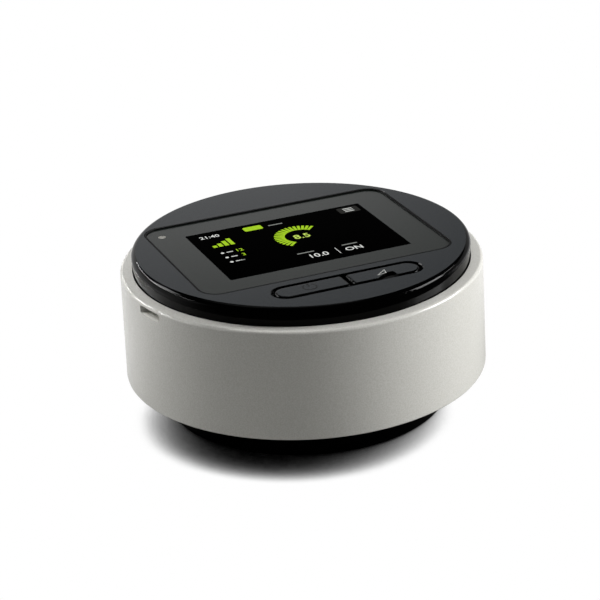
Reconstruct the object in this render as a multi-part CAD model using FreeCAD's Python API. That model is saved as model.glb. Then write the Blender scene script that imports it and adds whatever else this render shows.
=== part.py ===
import FreeCAD, Part
import math
import os

# Round bedside breathing-therapy machine (CPAP): a white drum-shaped body on a black
# bowl-shaped base, closed by a black lid that carries a colour display and two buttons.
# Frame: millimetres, +Z up, the user stands at -Y, the air outlet leaves at +Y.
# Origin: centre of the rubber pad's face that the machine stands on.

V = FreeCAD.Vector

# ---------------------------------------------------------------- driving dimensions

# Levels and outer sizes
BODY_D = 142.0            # white body, measured at its top edge
BODY_H = 43.7             # white body, bottom edge to shoulder
BODY_DRAFT = 0.6          # radius gained from the top edge to the bottom edge
FOOT_H = 15.2             # standing face to the white body's bottom edge
FLARE_STEP = 7.7          # body's wall in to the black base where the two meet
FOOT_STEP = 7.8           # from there in to the base where it meets the table
SHOULDER_W = 5.1          # body's wall in to the black lid
LID_RISE = 7.2            # lid above the body's shoulder
LID_FACE_STEP = 1.4       # lid's wall in to its flat satin face
LID_BULGE = 0.4           # lid's wall out to the widest line of its edge
LID_EDGE_H = 2.2          # height of the lid's rounded edge
LID_EDGE_IN = 0.45        # middle of that rounded edge, in from its widest line
LID_EDGE_DOWN = 0.85      # middle of that rounded edge, down from the face

# Walls and clearances
WALL = 2.5                # moulded casing walls
THIN = 1.6                # small moulded walls and circuit boards
FIT = 0.3                 # between pieces that move past each other
SEAT = 0.1                # between pieces that are fixed together
RUN = 0.05                # shaft in its bearings, on the radius
BREAK = 0.35              # small chamfers on visible edges
CLEAR = 1.0               # how far a cutter stands out of what it cuts
HAIR = 0.01               # kept off a full half circle, so that two arcs never share one centre line
TINY = 0.001              # tolerance for finding an edge by its place
QUARTER_TURN = 90.0

# Body shoulder, lid seat and hooks
SHOULDER_DROP = 0.2       # slope of the shoulder, inner edge to outer edge
SHOULDER_ROUND = 1.3      # rounding from shoulder to wall
BOTTOM_ROUND = 0.6        # rounding at the body's bottom edge
LEDGE_DEPTH = 2.7         # shoulder down to the ledge that the lid stands on
LEDGE_W = 3.6             # ledge, inward from the lid's opening
LEDGE_T = 3.0             # ledge thickness
LID_T = 2.5               # lid plate
SKIRT_T = 2.1             # lid skirt
HOOK_W = 8.0
HOOK_T = 2.0
HOOK_BARB = 2.4
HOOK_GAP = 0.9            # hook's arm behind the body's ledge
HOOK_ANGLES = (25, 90, 155, 215, 270, 325)

# Base, pad and case screws
PAD_STEP = 8.5            # base's foot in to the rubber pad
PAD_T = 1.6
PAD_PROUD = 0.5           # rubber pad below the base's foot
BASE_RECESS = 0.8         # base flange above the body's bottom edge
BASE_FLOOR = 2.4
BASE_WALL = 2.6           # flared wall, measured level
FOOT_ROUND = 0.8          # rounding at the foot
HEAD_WIDE = 1.8           # screw head's radius, in shank radii
HEAD_TALL = 1.1           # screw head's height, in shank radii
CROSS_REACH = 0.6         # cross recess, in head radii
CROSS_HALF_W = 0.25       # half of its arm's width, in shank radii
CROSS_DEPTH = 0.5         # in head heights
CASE_SCREW_R = 1.25       # M2.5
CASE_SCREW_L = 10.0
CASE_BOSS_R = 3.0
CASE_ANGLES = (10, 150, 220, 310)

# Display
PANEL_SIDE = 14.2         # lid's wall in to the panel's left and right sides
PANEL_REAR = 25.8         # lid's wall in to the panel's rear edge
PANEL_TO_WELL = 4.45      # panel's front edge to the button well
PANEL_X = -0.8
PANEL_R = 7.5
PANEL_SINK = 0.5          # panel's face below the lid's
PANEL_T = 1.0
PANEL_SEAM = 0.3
WINDOW_W = 74.8
WINDOW_H = 50.3
WINDOW_SHIFT_X = 0.1      # window's centre from the panel's
WINDOW_SHIFT_Y = -0.8
WINDOW_R = 0.6
WINDOW_T = 0.9
WINDOW_SINK = 0.05
SENSOR_SHIFT = -1.1       # sensor from the middle of the panel's left border
SENSOR_DOWN = 8.9         # panel's rear edge to the sensor
SENSOR_R = 1.5
LENS_DISH_R = 6.0         # hollow in the sensor's lens
LENS_DISH = 0.15
LCD_W = 83.0
LCD_H = 55.6
LCD_T = 2.6
BRACKET_RIM = 1.5
BRACKET_R = 2.0
BRACKET_EAR_STEP = 3.65   # panel's side out to the screws
BRACKET_EAR_Y = 10.0
BRACKET_EAR_R = 3.2
BRACKET_FLOOR_X = 18.7    # tray floor left and right of its opening
BRACKET_FLOOR_Y = 12.5    # tray floor before and behind its opening
BRACKET_FLOOR_R = 3.0
SMALL_SCREW_R = 1.0       # M2
FLEX_W = 16.0
FLEX_T = 0.3

# Buttons
WELL_W = 60.6
WELL_H = 12.0
WELL_X = 0.15
WELL_FRONT = 14.85        # lid's wall in to the well's front edge
GROOVE = 1.1              # gap between a button and the lid, all round
DIVIDER = 1.4             # gap between the two buttons
BUTTON_EDGE = 0.9         # rounding of a button's top edge
BUTTON_CORNER = 1.3
FLANGE_T = 1.6
FLANGE_OVER = 1.0         # flange past the well's edge, under the lid
STEM_R = 2.4
STEM_L = 2.9
POWER_X = -15.0
RAMP_X = 15.1
DOME_R = 4.4
DOME_TIP_R = 2.6
DOME_H = 3.4
DOME_SKIN = 0.8
NOTCH_DEPTH = 0.9
NOTCH_FOOT = (8.5, 19.0)  # x of the finger notch at the button's front edge
NOTCH_HEAD = (15.2, 18.5) # x of the finger notch at its rear edge
NOTCH_REAR = 0.5          # notch's rear edge before the well's middle line
BUTTON_EAR_R = 2.3        # ears of the button board and the lid's posts over them
BUTTON_EAR_GAP = 0.85     # button flange to those posts
BUTTON_BOARD_H = 9.6
BOARD_CORNER_R = 1.0

# Main board and card slot
BOARD_STEP = 5.5          # body's ledge in to the main board
BOARD_TO_BUTTONS = 3.85   # main board's front edge to the button board
BOARD_DROP = 12.5         # lid face down to the board's upper face
BOARD_POST_X = 38.0
BOARD_POST_Y = 20.0
BOARD_POST_R = 2.8
# Packages on the main board: x, y, width, depth, height
PACKAGES = (
    (0.0, 8.0, 14.0, 14.0, 1.4),
    (20.0, 10.0, 10.0, 8.0, 1.0),
    (-20.0, 6.0, 9.0, 9.0, 1.0),
    (-8.0, -14.0, 7.0, 5.0, 1.8),
    (6.0, -22.0, 12.0, 5.0, 3.2),
    (14.0, 34.0, 16.0, 5.0, 3.2),
    (-16.0, 32.0, 8.0, 8.0, 2.4),
)
CARD_ANGLE = 103.3        # card slot, turned from +Y towards -X
CARD_W = 12.7
CARD_H = 2.7
CARD_R = 1.0
CARD_Z = 55.75
CARD_FLARE = 0.45
CARD_SOCKET_H = 2.0
CARD_SOCKET_L = 15.0
BUZZER_R = 6.0
BUZZER_H = 3.0
BUZZER_X = 20.0
BUZZER_BACK = 15.0        # main board's front edge to the buzzer's centre

# Chassis
CHASSIS_GAP = 0.55        # chassis to the case screws' bosses
CHASSIS_Z = 18.6
CHASSIS_T = 1.9
CHASSIS_BOSS_STEP = 8.5   # base's foot in to the chassis screws
CHASSIS_BOSS_R = 3.5
CHASSIS_ANGLES = (0, 120, 240)
FOAM_GAP = 1.5            # foam to the chassis bosses
FOAM_W = 22.0             # foam ring, inside to outside
FOAM_T = 9.0

# Blower
BLOWER_X = -27.0
BLOWER_Y = -8.0
BLOWER_LIFT = 2.5         # chassis to blower floor, taken up by the rubber mounts
BLOWER_WALL = 2.0
VOLUTE_R = 19.0           # cavity at the tongue
VOLUTE_STEP = 4.0         # growth of the cavity each quarter turn
TONGUE_T = 1.0
CHANNEL_H = 16.0
OUTLET_RUN = 26.0         # blower axis to the end of its outlet, along +Y
SPIGOT_R = 9.2
SPIGOT_BORE_R = 7.5
SPIGOT_L = 7.0
EYE_R = 10.0              # air inlet under the impeller
LUG_R = 3.6
LUG_ANGLES = (135, 305, 16)
LUG_REACH = (28.5, 40.0, 42.9)
LUG_WEB_W = 5.0
LUG_HOLE_R = 2.0
LUG_T = 3.0
GROMMET_LIP = 0.5
IMPELLER_R = 17.5
IMPELLER_H = 11.5
IMPELLER_GAP = 1.0
BLADE_COUNT = 9
BLADE_IN_R = 8.0
BLADE_SWEEP = 42.0
BLADE_LEAN = 0.36         # share of the sweep reached half way out
BLADE_T = 0.9
PLATE_T = 1.3
HUB_R = 5.5
HUB_TIP_R = 3.5
SHAFT_R = 1.5
BEARING_R = 4.0
BEARING_H = 2.5
BEARING_DIP = 1.5         # lower bearing below the channel's roof
BEARING_SHELF = 1.0
SHIELD_SINK = 0.25
MOTOR_R = 16.0
MOTOR_H = 7.6
STATOR_IN_R = 6.3
STATOR_H = 3.9
STATOR_SLOTS = 6
STATOR_SLOT_R = 2.1
STATOR_SLIT = 1.2
MAGNET_GAP = 0.4

# Air outlet
PORT_R = 11.0             # 22 mm cone seat for the hose
PORT_BORE_R = 9.3
PORT_L = 16.0
PORT_COLLAR_R = 12.8
PORT_COLLAR_PROUD = 1.2
PORT_FLANGE_R = 14.2
PORT_FLANGE_T = 2.5
PORT_DUCT_R = 10.5
COUPLING_T = 2.0
COUPLING_L = 19.0
COUPLING_RIBS = 3
SENSOR_BLOCK = (10.0, 12.0, 4.6)

# Filter and its cover
FILTER_ANGLE = -42.0      # turned from +Y towards +X
FILTER_W = 43.4
FILTER_H = 24.0
FILTER_Z = 35.0
FILTER_T = 5.0
DUCT_DEPTH = 18.0
GRILLE_SLOT = 2.4
GRILLE_PITCH = 4.3
GRILLE_SLOTS = 9
GRILLE_H = 17.0
NAIL_W = 12.0

# Power inlet
DC_ANGLE = 35.0           # turned from +Y towards -X
DC_Z = 31.0
DC_R = 5.5
DC_BORE_R = 2.9
DC_PIN_R = 1.2
DC_BORE_L = 9.5
PIN_SINK = 1.5            # pin's tip inside the socket's mouth
DC_BLOCK = (10.0, 12.0, 9.4)
POWER_BOARD_Z = 24.6
POWER_BOARD_X = (-17.0, 8.0)
POWER_BOARD_L = 24.0
POWER_BOARD_GAP = 8.5     # inside of the wall to the power board
CAP_R = 4.2
CAP_H = 12.0
CAP_EDGE = 1.0            # capacitors from the board's edges
CAP_GAP = 0.5             # between the two capacitors
CHOKE = (7.0, 5.0, 5.0)   # width, depth, height
CHOKE_IN = 6.0            # board's inner edge to the choke

# ---------------------------------------------------------------- derived sizes

BODY_R = BODY_D / 2
BODY_TOP = FOOT_H + BODY_H
TOP = BODY_TOP + LID_RISE
FLARE_R = BODY_R - FLARE_STEP
FOOT_R = FLARE_R - FOOT_STEP
PAD_R = FOOT_R - PAD_STEP
LID_R = BODY_R - SHOULDER_W
LID_FACE_R = LID_R - LID_FACE_STEP
BEYOND = BODY_R * 1.2
OPENING_R = LID_R + 2 * SEAT
LEDGE_Z = BODY_TOP - LEDGE_DEPTH
LEDGE_IN_R = OPENING_R - LEDGE_W
LEDGE_FOOT = LEDGE_Z - LEDGE_T
INNER_R = BODY_R - WALL
PLATE_Z = TOP - LID_T
SKIRT_Z = LEDGE_Z + SEAT
SKIRT_IN_R = LID_R - SKIRT_T
WELL_Y = WELL_H / 2 + WELL_FRONT - LID_R
BUTTON_EAR_X = WELL_W / 2 + FLANGE_OVER + BUTTON_EAR_GAP + BUTTON_EAR_R
NOTCH_REAR_Y = WELL_Y - NOTCH_REAR
PANEL_W = 2 * (LID_R - PANEL_SIDE)
PANEL_Y1 = LID_R - PANEL_REAR
PANEL_Y0 = WELL_Y + WELL_H / 2 + PANEL_TO_WELL
PANEL_H = PANEL_Y1 - PANEL_Y0
PANEL_Y = (PANEL_Y0 + PANEL_Y1) / 2
WINDOW_X = PANEL_X + WINDOW_SHIFT_X
WINDOW_Y = PANEL_Y + WINDOW_SHIFT_Y
SENSOR_X = (PANEL_X - PANEL_W / 2 + WINDOW_X - WINDOW_W / 2) / 2 + SENSOR_SHIFT
SENSOR_Y = PANEL_Y1 - SENSOR_DOWN
PANEL_TOP = TOP - PANEL_SINK
PANEL_FOOT = PANEL_TOP - PANEL_T
WINDOW_TOP = PANEL_TOP - WINDOW_SINK
LCD_TOP = PANEL_FOOT - SEAT
LCD_Z = LCD_TOP - LCD_T
BRACKET_Z = LCD_Z - SEAT - THIN
BOARD_TOP = TOP - BOARD_DROP
BOARD_Z = BOARD_TOP - THIN
FLANGE_TOP = PLATE_Z - FIT
FLANGE_Z = FLANGE_TOP - FLANGE_T
STEM_Z = FLANGE_Z - STEM_L
DOME_TOP = STEM_Z - FIT
BUTTON_BOARD_TOP = DOME_TOP - DOME_H
BASE_FLANGE_Z = FOOT_H + BASE_RECESS
BASE_TOP = BASE_FLANGE_Z + WALL
BASE_R = BODY_R + BODY_DRAFT - WALL - FIT
CASE_AT = (FLARE_R + BASE_R) / 2
BOARD_R = LEDGE_IN_R - BOARD_STEP
BOARD_FRONT_Y = WELL_Y + BUTTON_BOARD_H / 2 + BOARD_TO_BUTTONS
BUZZER_Y = BOARD_FRONT_Y + BUZZER_BACK
CHASSIS_R = CASE_AT - CASE_BOSS_R - CHASSIS_GAP
CHASSIS_BOSS_AT = FOOT_R - CHASSIS_BOSS_STEP
FOAM_R = CHASSIS_BOSS_AT - CHASSIS_BOSS_R - FOAM_GAP
BASE_INNER_Z = PAD_T + BASE_FLOOR
CHASSIS_TOP = CHASSIS_Z + CHASSIS_T
BLOWER_Z = CHASSIS_TOP + BLOWER_LIFT
CHANNEL_Z = BLOWER_Z + BLOWER_WALL
OUTLET_Z = CHANNEL_Z + CHANNEL_H / 2
ROOF_Z = CHANNEL_Z + CHANNEL_H
BLOWER_TOP = ROOF_Z + BLOWER_WALL
CHANNEL_X0 = BLOWER_X + VOLUTE_R + TONGUE_T
CHANNEL_X1 = BLOWER_X + VOLUTE_R + 4 * VOLUTE_STEP
OUTLET_X = (CHANNEL_X0 + CHANNEL_X1) / 2
SPIGOT_Y = BLOWER_Y + OUTLET_RUN
PORT_WALL_Y = BODY_R + BODY_DRAFT / 2
PORT_FLANGE_Y = math.sqrt(INNER_R**2 - PORT_FLANGE_R**2) - FIT
PORT_START_Y = SPIGOT_Y + BLOWER_WALL + COUPLING_L - SPIGOT_L
PORT_END_Y = PORT_WALL_Y + PORT_COLLAR_PROUD + PORT_L
IMPELLER_Z = CHANNEL_Z + IMPELLER_GAP
IMPELLER_TOP = IMPELLER_Z + IMPELLER_H
LOW_BEARING_Z = ROOF_Z - BEARING_DIP
MOTOR_TOP = BLOWER_TOP + MOTOR_H
TOP_BEARING_Z = MOTOR_TOP - SEAT - BEARING_H
SHAFT_TOP = MOTOR_TOP - SEAT
STATOR_Z = BLOWER_TOP + 2 * FIT
DUCT_Y0 = INNER_R - DUCT_DEPTH
DUCT_Y1 = INNER_R - FILTER_T - 2 * WALL - THIN
POWER_BOARD_Y1 = INNER_R - POWER_BOARD_GAP
POWER_BOARD_Y0 = POWER_BOARD_Y1 - POWER_BOARD_L


# ---------------------------------------------------------------- small geometry tools

def in_plan(z):
    """Turns (x, y) into a point at height z."""
    return lambda a, b: V(a, b, z)


def in_section(a, b):
    """Turns (radius, height) into a point of the section plane."""
    return V(a, 0, b)


def outline(points, radii, lift):
    """Closed wire through the corner points, each corner rounded by its own radius."""
    corners = []
    count = len(points)
    for index, (a, b) in enumerate(points):
        here = V(a, b, 0)
        before = (V(*points[index - 1], 0) - here).normalize()
        after = (V(*points[(index + 1) % count], 0) - here).normalize()
        radius = radii[index]
        if radius <= 0:
            corners.append((here, None, here))
            continue
        half = before.getAngle(after) / 2
        middle = (before + after).normalize()
        reach = radius / math.tan(half)
        crown = here + middle * (radius / math.sin(half) - radius)
        corners.append((here + before * reach, crown, here + after * reach))
    edges = []
    for index, (start, crown, end) in enumerate(corners):
        if crown:
            points3 = [lift(p.x, p.y) for p in (start, crown, end)]
            edges.append(Part.Arc(*points3).toShape())
        following = corners[(index + 1) % count][0]
        if (following - end).Length > 1e-4:
            edges.append(Part.LineSegment(lift(end.x, end.y), lift(following.x, following.y)).toShape())
    return Part.Wire(edges)


def turned_profile(points, radii=None):
    """Solid of revolution about Z of a closed (radius, height) outline."""
    face = Part.Face(outline(points, radii or [0] * len(points), in_section))
    return face.revolve(V(0, 0, 0), V(0, 0, 1), 360)


def prism(points, radii, z0, z1):
    """Upright prism on a rounded outline."""
    return Part.Face(outline(points, radii, in_plan(z0))).extrude(V(0, 0, z1 - z0))


def rectangle(width, height, x, y):
    return [(x - width / 2, y - height / 2), (x + width / 2, y - height / 2),
            (x + width / 2, y + height / 2), (x - width / 2, y + height / 2)]


def plate(width, height, x, y, radius, z0, z1):
    """Rounded rectangular plate."""
    return prism(rectangle(width, height, x, y), [radius] * 4, z0, z1)


def flare(points, radii, z0, z1, grow):
    """Prism whose upper outline is larger by grow, used to break an edge."""
    x = sum(p[0] for p in points) / len(points)
    y = sum(p[1] for p in points) / len(points)
    wide = [(a + math.copysign(grow, a - x), b + math.copysign(grow, b - y)) for a, b in points]
    wide_radii = [r + grow if r > 0 else 0 for r in radii]
    lower = outline(points, radii, in_plan(z0))
    upper = outline(wide, wide_radii, in_plan(z1))
    return Part.makeLoft([lower, upper], True, True)


def disc(radius, z0, z1, x=0, y=0):
    return Part.makeCylinder(radius, z1 - z0, V(x, y, z0))


def ring(outer, inner, z0, z1, x=0, y=0):
    return disc(outer, z0, z1, x, y).cut(disc(inner, z0, z1, x, y))


def block(x0, x1, y0, y1, z0, z1):
    return Part.makeBox(x1 - x0, y1 - y0, z1 - z0, V(x0, y0, z0))


def tube_y(radius, y0, y1, x, z):
    """Cylinder along +Y."""
    return Part.makeCylinder(radius, y1 - y0, V(x, y0, z), V(0, 1, 0))


def turned(shape, angle):
    """Copy of a shape turned about Z; shapes that face outwards are drawn facing +Y."""
    copy = shape.copy()
    copy.rotate(V(0, 0, 0), V(0, 0, 1), angle)
    return copy


def spot(angle, radius):
    """Point at an angle from +X."""
    return radius * math.cos(math.radians(angle)), radius * math.sin(math.radians(angle))


def joined(shapes):
    result = shapes[0]
    for shape in shapes[1:]:
        result = result.fuse(shape)
    return result.removeSplitter()


def without(shape, cutters):
    for cutter in cutters:
        shape = shape.cut(cutter)
    return shape


def screw(x, y, head_z, tip_z, radius):
    """Pan-head screw with a cross recess; the head lies outside head_z, away from the tip."""
    sign = 1 if head_z > tip_z else -1
    head_r = radius * HEAD_WIDE
    head_h = radius * HEAD_TALL
    low = min(head_z, tip_z)
    shank = disc(radius, low, max(head_z, tip_z), x, y)
    head = disc(head_r, head_z if sign > 0 else head_z - head_h,
                head_z + head_h if sign > 0 else head_z, x, y)
    arm = head_r * CROSS_REACH
    slot_w = radius * CROSS_HALF_W
    slot_z0 = head_z + sign * head_h * CROSS_DEPTH
    slot_z1 = head_z + sign * (head_h + SEAT)
    z0, z1 = sorted((slot_z0, slot_z1))
    cross = [block(x - arm, x + arm, y - slot_w, y + slot_w, z0, z1),
             block(x - slot_w, x + slot_w, y - arm, y + arm, z0, z1)]
    return without(joined([shank, head]), cross)


# ---------------------------------------------------------------- casing

def body_profile():
    """Section of the white body: drafted wall, shoulder, lid opening and ledge."""
    points = [
        (BODY_R + BODY_DRAFT, FOOT_H),
        (BODY_R, BODY_TOP - SHOULDER_DROP),
        (OPENING_R, BODY_TOP),
        (OPENING_R, LEDGE_Z),
        (LEDGE_IN_R, LEDGE_Z),
        (LEDGE_IN_R, LEDGE_FOOT),
        (LEDGE_IN_R + WALL, LEDGE_FOOT),
        (INNER_R, LEDGE_FOOT - INNER_R + LEDGE_IN_R + WALL),
        (INNER_R + BODY_DRAFT, FOOT_H),
    ]
    return turned_profile(points, [BOTTOM_ROUND, SHOULDER_ROUND, BREAK, 0, 0, 0, 0, 0, 0])


def card_slot_cutter():
    """Letter-box slot for the memory card, with a flared mouth; drawn facing +Y."""
    reach = BODY_R - LEDGE_IN_R + 2 * WALL
    mouth = outline(rectangle(CARD_W, CARD_H, 0, CARD_Z), [CARD_R] * 4,
                    lambda a, b: V(a, LEDGE_IN_R - WALL, b))
    slot = Part.Face(mouth).extrude(V(0, reach, 0))
    edge_y = BODY_R + BODY_DRAFT - math.hypot(BODY_R, CARD_W / 2) + BODY_R
    near = outline(rectangle(CARD_W, CARD_H, 0, CARD_Z), [CARD_R] * 4,
                   lambda a, b: V(a, edge_y - 3 * CARD_FLARE, b))
    wide = outline(rectangle(CARD_W + 2 * CARD_FLARE, CARD_H + 2 * CARD_FLARE, 0, CARD_Z),
                   [CARD_R + CARD_FLARE] * 4, lambda a, b: V(a, edge_y, b))
    pocket = block(-CARD_W / 2, CARD_W / 2, LEDGE_IN_R - WALL, OPENING_R, BOARD_TOP, CARD_Z + CARD_H / 2)
    return joined([slot, pocket, Part.makeLoft([near, wide], True, True)])


def filter_box(grow, y0, y1):
    """Box across the filter's width and height, larger by grow on each side; faces +Y."""
    half_w = FILTER_W / 2 + grow
    half_h = FILTER_H / 2 + grow
    return block(-half_w, half_w, y0, y1, FILTER_Z - half_h, FILTER_Z + half_h)


def outer_shell():
    shell = body_profile()
    bosses = []
    pilots = []
    for angle in CASE_ANGLES:
        x, y = spot(angle, CASE_AT)
        boss = disc(CASE_BOSS_R, BASE_TOP + SEAT, BASE_TOP + SEAT + CASE_SCREW_L, x, y)
        bosses.append(boss.common(disc(BODY_R - SEAT, 0, TOP)))
        pilots.append(disc(CASE_SCREW_R + SEAT / 2, BASE_TOP, BASE_TOP + CASE_SCREW_L - SEAT, x, y))
    port_hole = tube_y(PORT_COLLAR_R + FIT, INNER_R / 2, BEYOND, OUTLET_X, OUTLET_Z)
    dc_hole = turned(tube_y(DC_R + SEAT, INNER_R / 2, BEYOND, 0, DC_Z), DC_ANGLE)
    window = turned(filter_box(FIT, INNER_R / 2, BEYOND), FILTER_ANGLE)
    card = turned(card_slot_cutter(), CARD_ANGLE)
    return without(joined([shell] + bosses), pilots + [port_hole, dc_hole, window, card])


def base_housing():
    points = [
        (0, PAD_T),
        (PAD_R + SEAT, PAD_T),
        (PAD_R + SEAT, PAD_PROUD),
        (FOOT_R, PAD_PROUD),
        (FLARE_R, BASE_FLANGE_Z),
        (BASE_R, BASE_FLANGE_Z),
        (BASE_R, BASE_TOP),
        (FLARE_R - BASE_WALL, BASE_TOP),
        (FOOT_R - BASE_WALL, BASE_INNER_Z),
        (0, BASE_INNER_Z),
    ]
    radii = [0, 0, 0, FOOT_ROUND, 0, BREAK, 0, 0, FOOT_ROUND, 0]
    housing = turned_profile(points, radii)
    bosses = []
    holes = []
    for angle in CHASSIS_ANGLES:
        x, y = spot(angle, CHASSIS_BOSS_AT)
        bosses.append(disc(CHASSIS_BOSS_R, BASE_INNER_Z - SEAT, CHASSIS_Z - SEAT, x, y))
        holes.append(disc(CASE_SCREW_R + SEAT / 2, BASE_INNER_Z + WALL, CHASSIS_Z, x, y))
    for angle in CASE_ANGLES:
        x, y = spot(angle, CASE_AT)
        holes.append(disc(CASE_SCREW_R + SEAT, BASE_FLANGE_Z - SEAT, BASE_TOP + SEAT, x, y))
        holes.append(disc(CASE_SCREW_R * HEAD_WIDE + SEAT, BASE_FLANGE_Z - CLEAR,
                          BASE_FLANGE_Z + CASE_SCREW_R * HEAD_TALL, x, y))
    return without(joined([housing] + bosses), holes)


def base_pad():
    points = [(0, 0), (PAD_R, 0), (PAD_R, PAD_T - SEAT), (0, PAD_T - SEAT)]
    return turned_profile(points, [0, BREAK, 0, 0])


def case_screws():
    seat_z = BASE_FLANGE_Z + CASE_SCREW_R * HEAD_TALL
    tip_z = BASE_TOP + CASE_SCREW_L - CLEAR
    return [screw(*spot(angle, CASE_AT), seat_z, tip_z, CASE_SCREW_R) for angle in CASE_ANGLES]


def pill(x0, x1, half_h, y, inner_r, outer_left, z0, z1):
    """Half of a pill-shaped button: one round end, one straight end."""
    points = [(x0, y - half_h), (x1, y - half_h), (x1, y + half_h), (x0, y + half_h)]
    end_r = half_h - HAIR
    radii = [end_r, inner_r, inner_r, end_r] if outer_left else [inner_r, end_r, end_r, inner_r]
    return prism(points, radii, z0, z1)


def well_outline():
    points = rectangle(WELL_W, WELL_H, WELL_X, WELL_Y)
    return points, [WELL_H / 2 - HAIR] * 4


def lid_hook(angle):
    """Snap hook that reaches down inside the body's ledge and catches under it."""
    face_y = LEDGE_IN_R - HOOK_GAP
    arm = block(-HOOK_W / 2, HOOK_W / 2, face_y - HOOK_T, face_y, LEDGE_FOOT - HOOK_T, PLATE_Z + SEAT)
    barb_z = LEDGE_FOOT - SEAT
    barb = Part.Face(Part.makePolygon([
        V(-HOOK_W / 2, face_y - SEAT, barb_z),
        V(-HOOK_W / 2, face_y + HOOK_BARB, barb_z),
        V(-HOOK_W / 2, face_y, barb_z - HOOK_T + SEAT),
        V(-HOOK_W / 2, face_y - SEAT, barb_z - HOOK_T + SEAT),
        V(-HOOK_W / 2, face_y - SEAT, barb_z),
    ])).extrude(V(HOOK_W, 0, 0))
    return turned(arm.fuse(barb), angle - 90)


def bracket_spots():
    return [(side * (PANEL_W / 2 + BRACKET_EAR_STEP) + PANEL_X, WINDOW_Y + end * BRACKET_EAR_Y)
            for side in (-1, 1) for end in (-1, 1)]


def button_board_spots():
    return [(WELL_X + side * BUTTON_EAR_X, WELL_Y) for side in (-1, 1)]


def top_cover():
    widest = V(LID_R + LID_BULGE, 0, TOP - LID_EDGE_H)
    edge_mid = V(LID_R + LID_BULGE - LID_EDGE_IN, 0, TOP - LID_EDGE_DOWN)
    edge = Part.Arc(widest, edge_mid, V(LID_FACE_R, 0, TOP)).toShape()
    rest = Part.makePolygon([V(LID_FACE_R, 0, TOP), V(0, 0, TOP), V(0, 0, PLATE_Z), V(SKIRT_IN_R, 0, PLATE_Z),
                             V(SKIRT_IN_R, 0, SKIRT_Z), V(LID_R, 0, SKIRT_Z), V(LID_R, 0, BODY_TOP), widest])
    section = Part.Face(Part.Wire([edge] + rest.Edges))
    lid = section.revolve(V(0, 0, 0), V(0, 0, 1), 360)
    parts = [lid] + [lid_hook(angle) for angle in HOOK_ANGLES]
    ear_top = LCD_Z - SEAT
    for x, y in bracket_spots():
        parts.append(disc(BRACKET_EAR_R - FIT, ear_top + SEAT, PLATE_Z + SEAT, x, y))
    for x, y in button_board_spots():
        parts.append(disc(BUTTON_EAR_R, BUTTON_BOARD_TOP + SEAT, PLATE_Z + SEAT, x, y))
    pocket_w = PANEL_W + 2 * PANEL_SEAM
    pocket_h = PANEL_H + 2 * PANEL_SEAM
    pocket = rectangle(pocket_w, pocket_h, PANEL_X, PANEL_Y)
    pocket_r = [PANEL_R + PANEL_SEAM] * 4
    well, well_r = well_outline()
    cuts = [
        prism(pocket, pocket_r, LCD_TOP, TOP + SEAT),
        flare(pocket, pocket_r, TOP - BREAK / 2, TOP, BREAK / 2),
        plate(LCD_W + 2 * FIT, LCD_H + 2 * FIT, WINDOW_X, WINDOW_Y, FIT, PLATE_Z - SEAT, TOP),
        prism(well, well_r, PLATE_Z - SEAT, TOP + SEAT),
        flare(well, well_r, TOP - BREAK, TOP, BREAK),
    ]
    for x, y in bracket_spots():
        cuts.append(disc(SMALL_SCREW_R + SEAT / 2, ear_top, TOP - SMALL_SCREW_R, x, y))
    for x, y in button_board_spots():
        cuts.append(disc(SMALL_SCREW_R + SEAT / 2, BUTTON_BOARD_TOP, PLATE_Z, x, y))
    slot = block(-CARD_W / 2 - SEAT, CARD_W / 2 + SEAT, SKIRT_IN_R - WALL, BODY_R,
                 SKIRT_Z - SEAT, CARD_Z + CARD_H / 2 + FIT)
    cuts.append(turned(slot, CARD_ANGLE))
    return without(joined(parts), cuts)


# ---------------------------------------------------------------- display

def display_panel():
    points = rectangle(PANEL_W, PANEL_H, PANEL_X, PANEL_Y)
    radii = [PANEL_R] * 4
    crown = PANEL_TOP - BREAK / 2
    inner = [(x - math.copysign(BREAK / 2, x - PANEL_X), y - math.copysign(BREAK / 2, y - PANEL_Y))
             for x, y in points]
    inner_r = [PANEL_R - BREAK / 2] * 4
    top = Part.makeLoft([outline(points, radii, in_plan(crown)), outline(inner, inner_r, in_plan(PANEL_TOP))],
                        True, True)
    panel = joined([prism(points, radii, PANEL_FOOT, crown), top])
    opening = plate(WINDOW_W + 2 * SEAT, WINDOW_H + 2 * SEAT, WINDOW_X, WINDOW_Y,
                    WINDOW_R + SEAT, PANEL_FOOT - SEAT, PANEL_TOP + SEAT)
    eye = disc(SENSOR_R + SEAT, PANEL_FOOT - SEAT, PANEL_TOP + SEAT, SENSOR_X, SENSOR_Y)
    return without(panel, [opening, eye])


def display_window():
    return plate(WINDOW_W, WINDOW_H, WINDOW_X, WINDOW_Y, WINDOW_R, WINDOW_TOP - WINDOW_T, WINDOW_TOP)


def light_sensor_lens():
    stem = disc(SENSOR_R, PANEL_FOOT - SEAT, WINDOW_TOP, SENSOR_X, SENSOR_Y)
    dish = Part.makeSphere(LENS_DISH_R, V(SENSOR_X, SENSOR_Y, WINDOW_TOP + LENS_DISH_R - LENS_DISH))
    return stem.cut(dish)


def lcd_module():
    """Display cell in its pressed metal frame; the glass stands a little inside the frame."""
    frame = block(WINDOW_X - LCD_W / 2, WINDOW_X + LCD_W / 2,
                  WINDOW_Y - LCD_H / 2, WINDOW_Y + LCD_H / 2, LCD_Z, LCD_TOP)
    shelf = plate(WINDOW_W, WINDOW_H, WINDOW_X, WINDOW_Y, WINDOW_R, LCD_TOP - SEAT, LCD_TOP + SEAT)
    return frame.cut(shelf)


def flex_slot():
    x0 = WINDOW_X + LCD_W / 2 + SEAT
    return block(x0, x0 + 2 * BRACKET_RIM + SEAT, WINDOW_Y - FLEX_W / 2 - FIT, WINDOW_Y + FLEX_W / 2 + FIT,
                 BRACKET_Z - SEAT, LCD_TOP)


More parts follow.
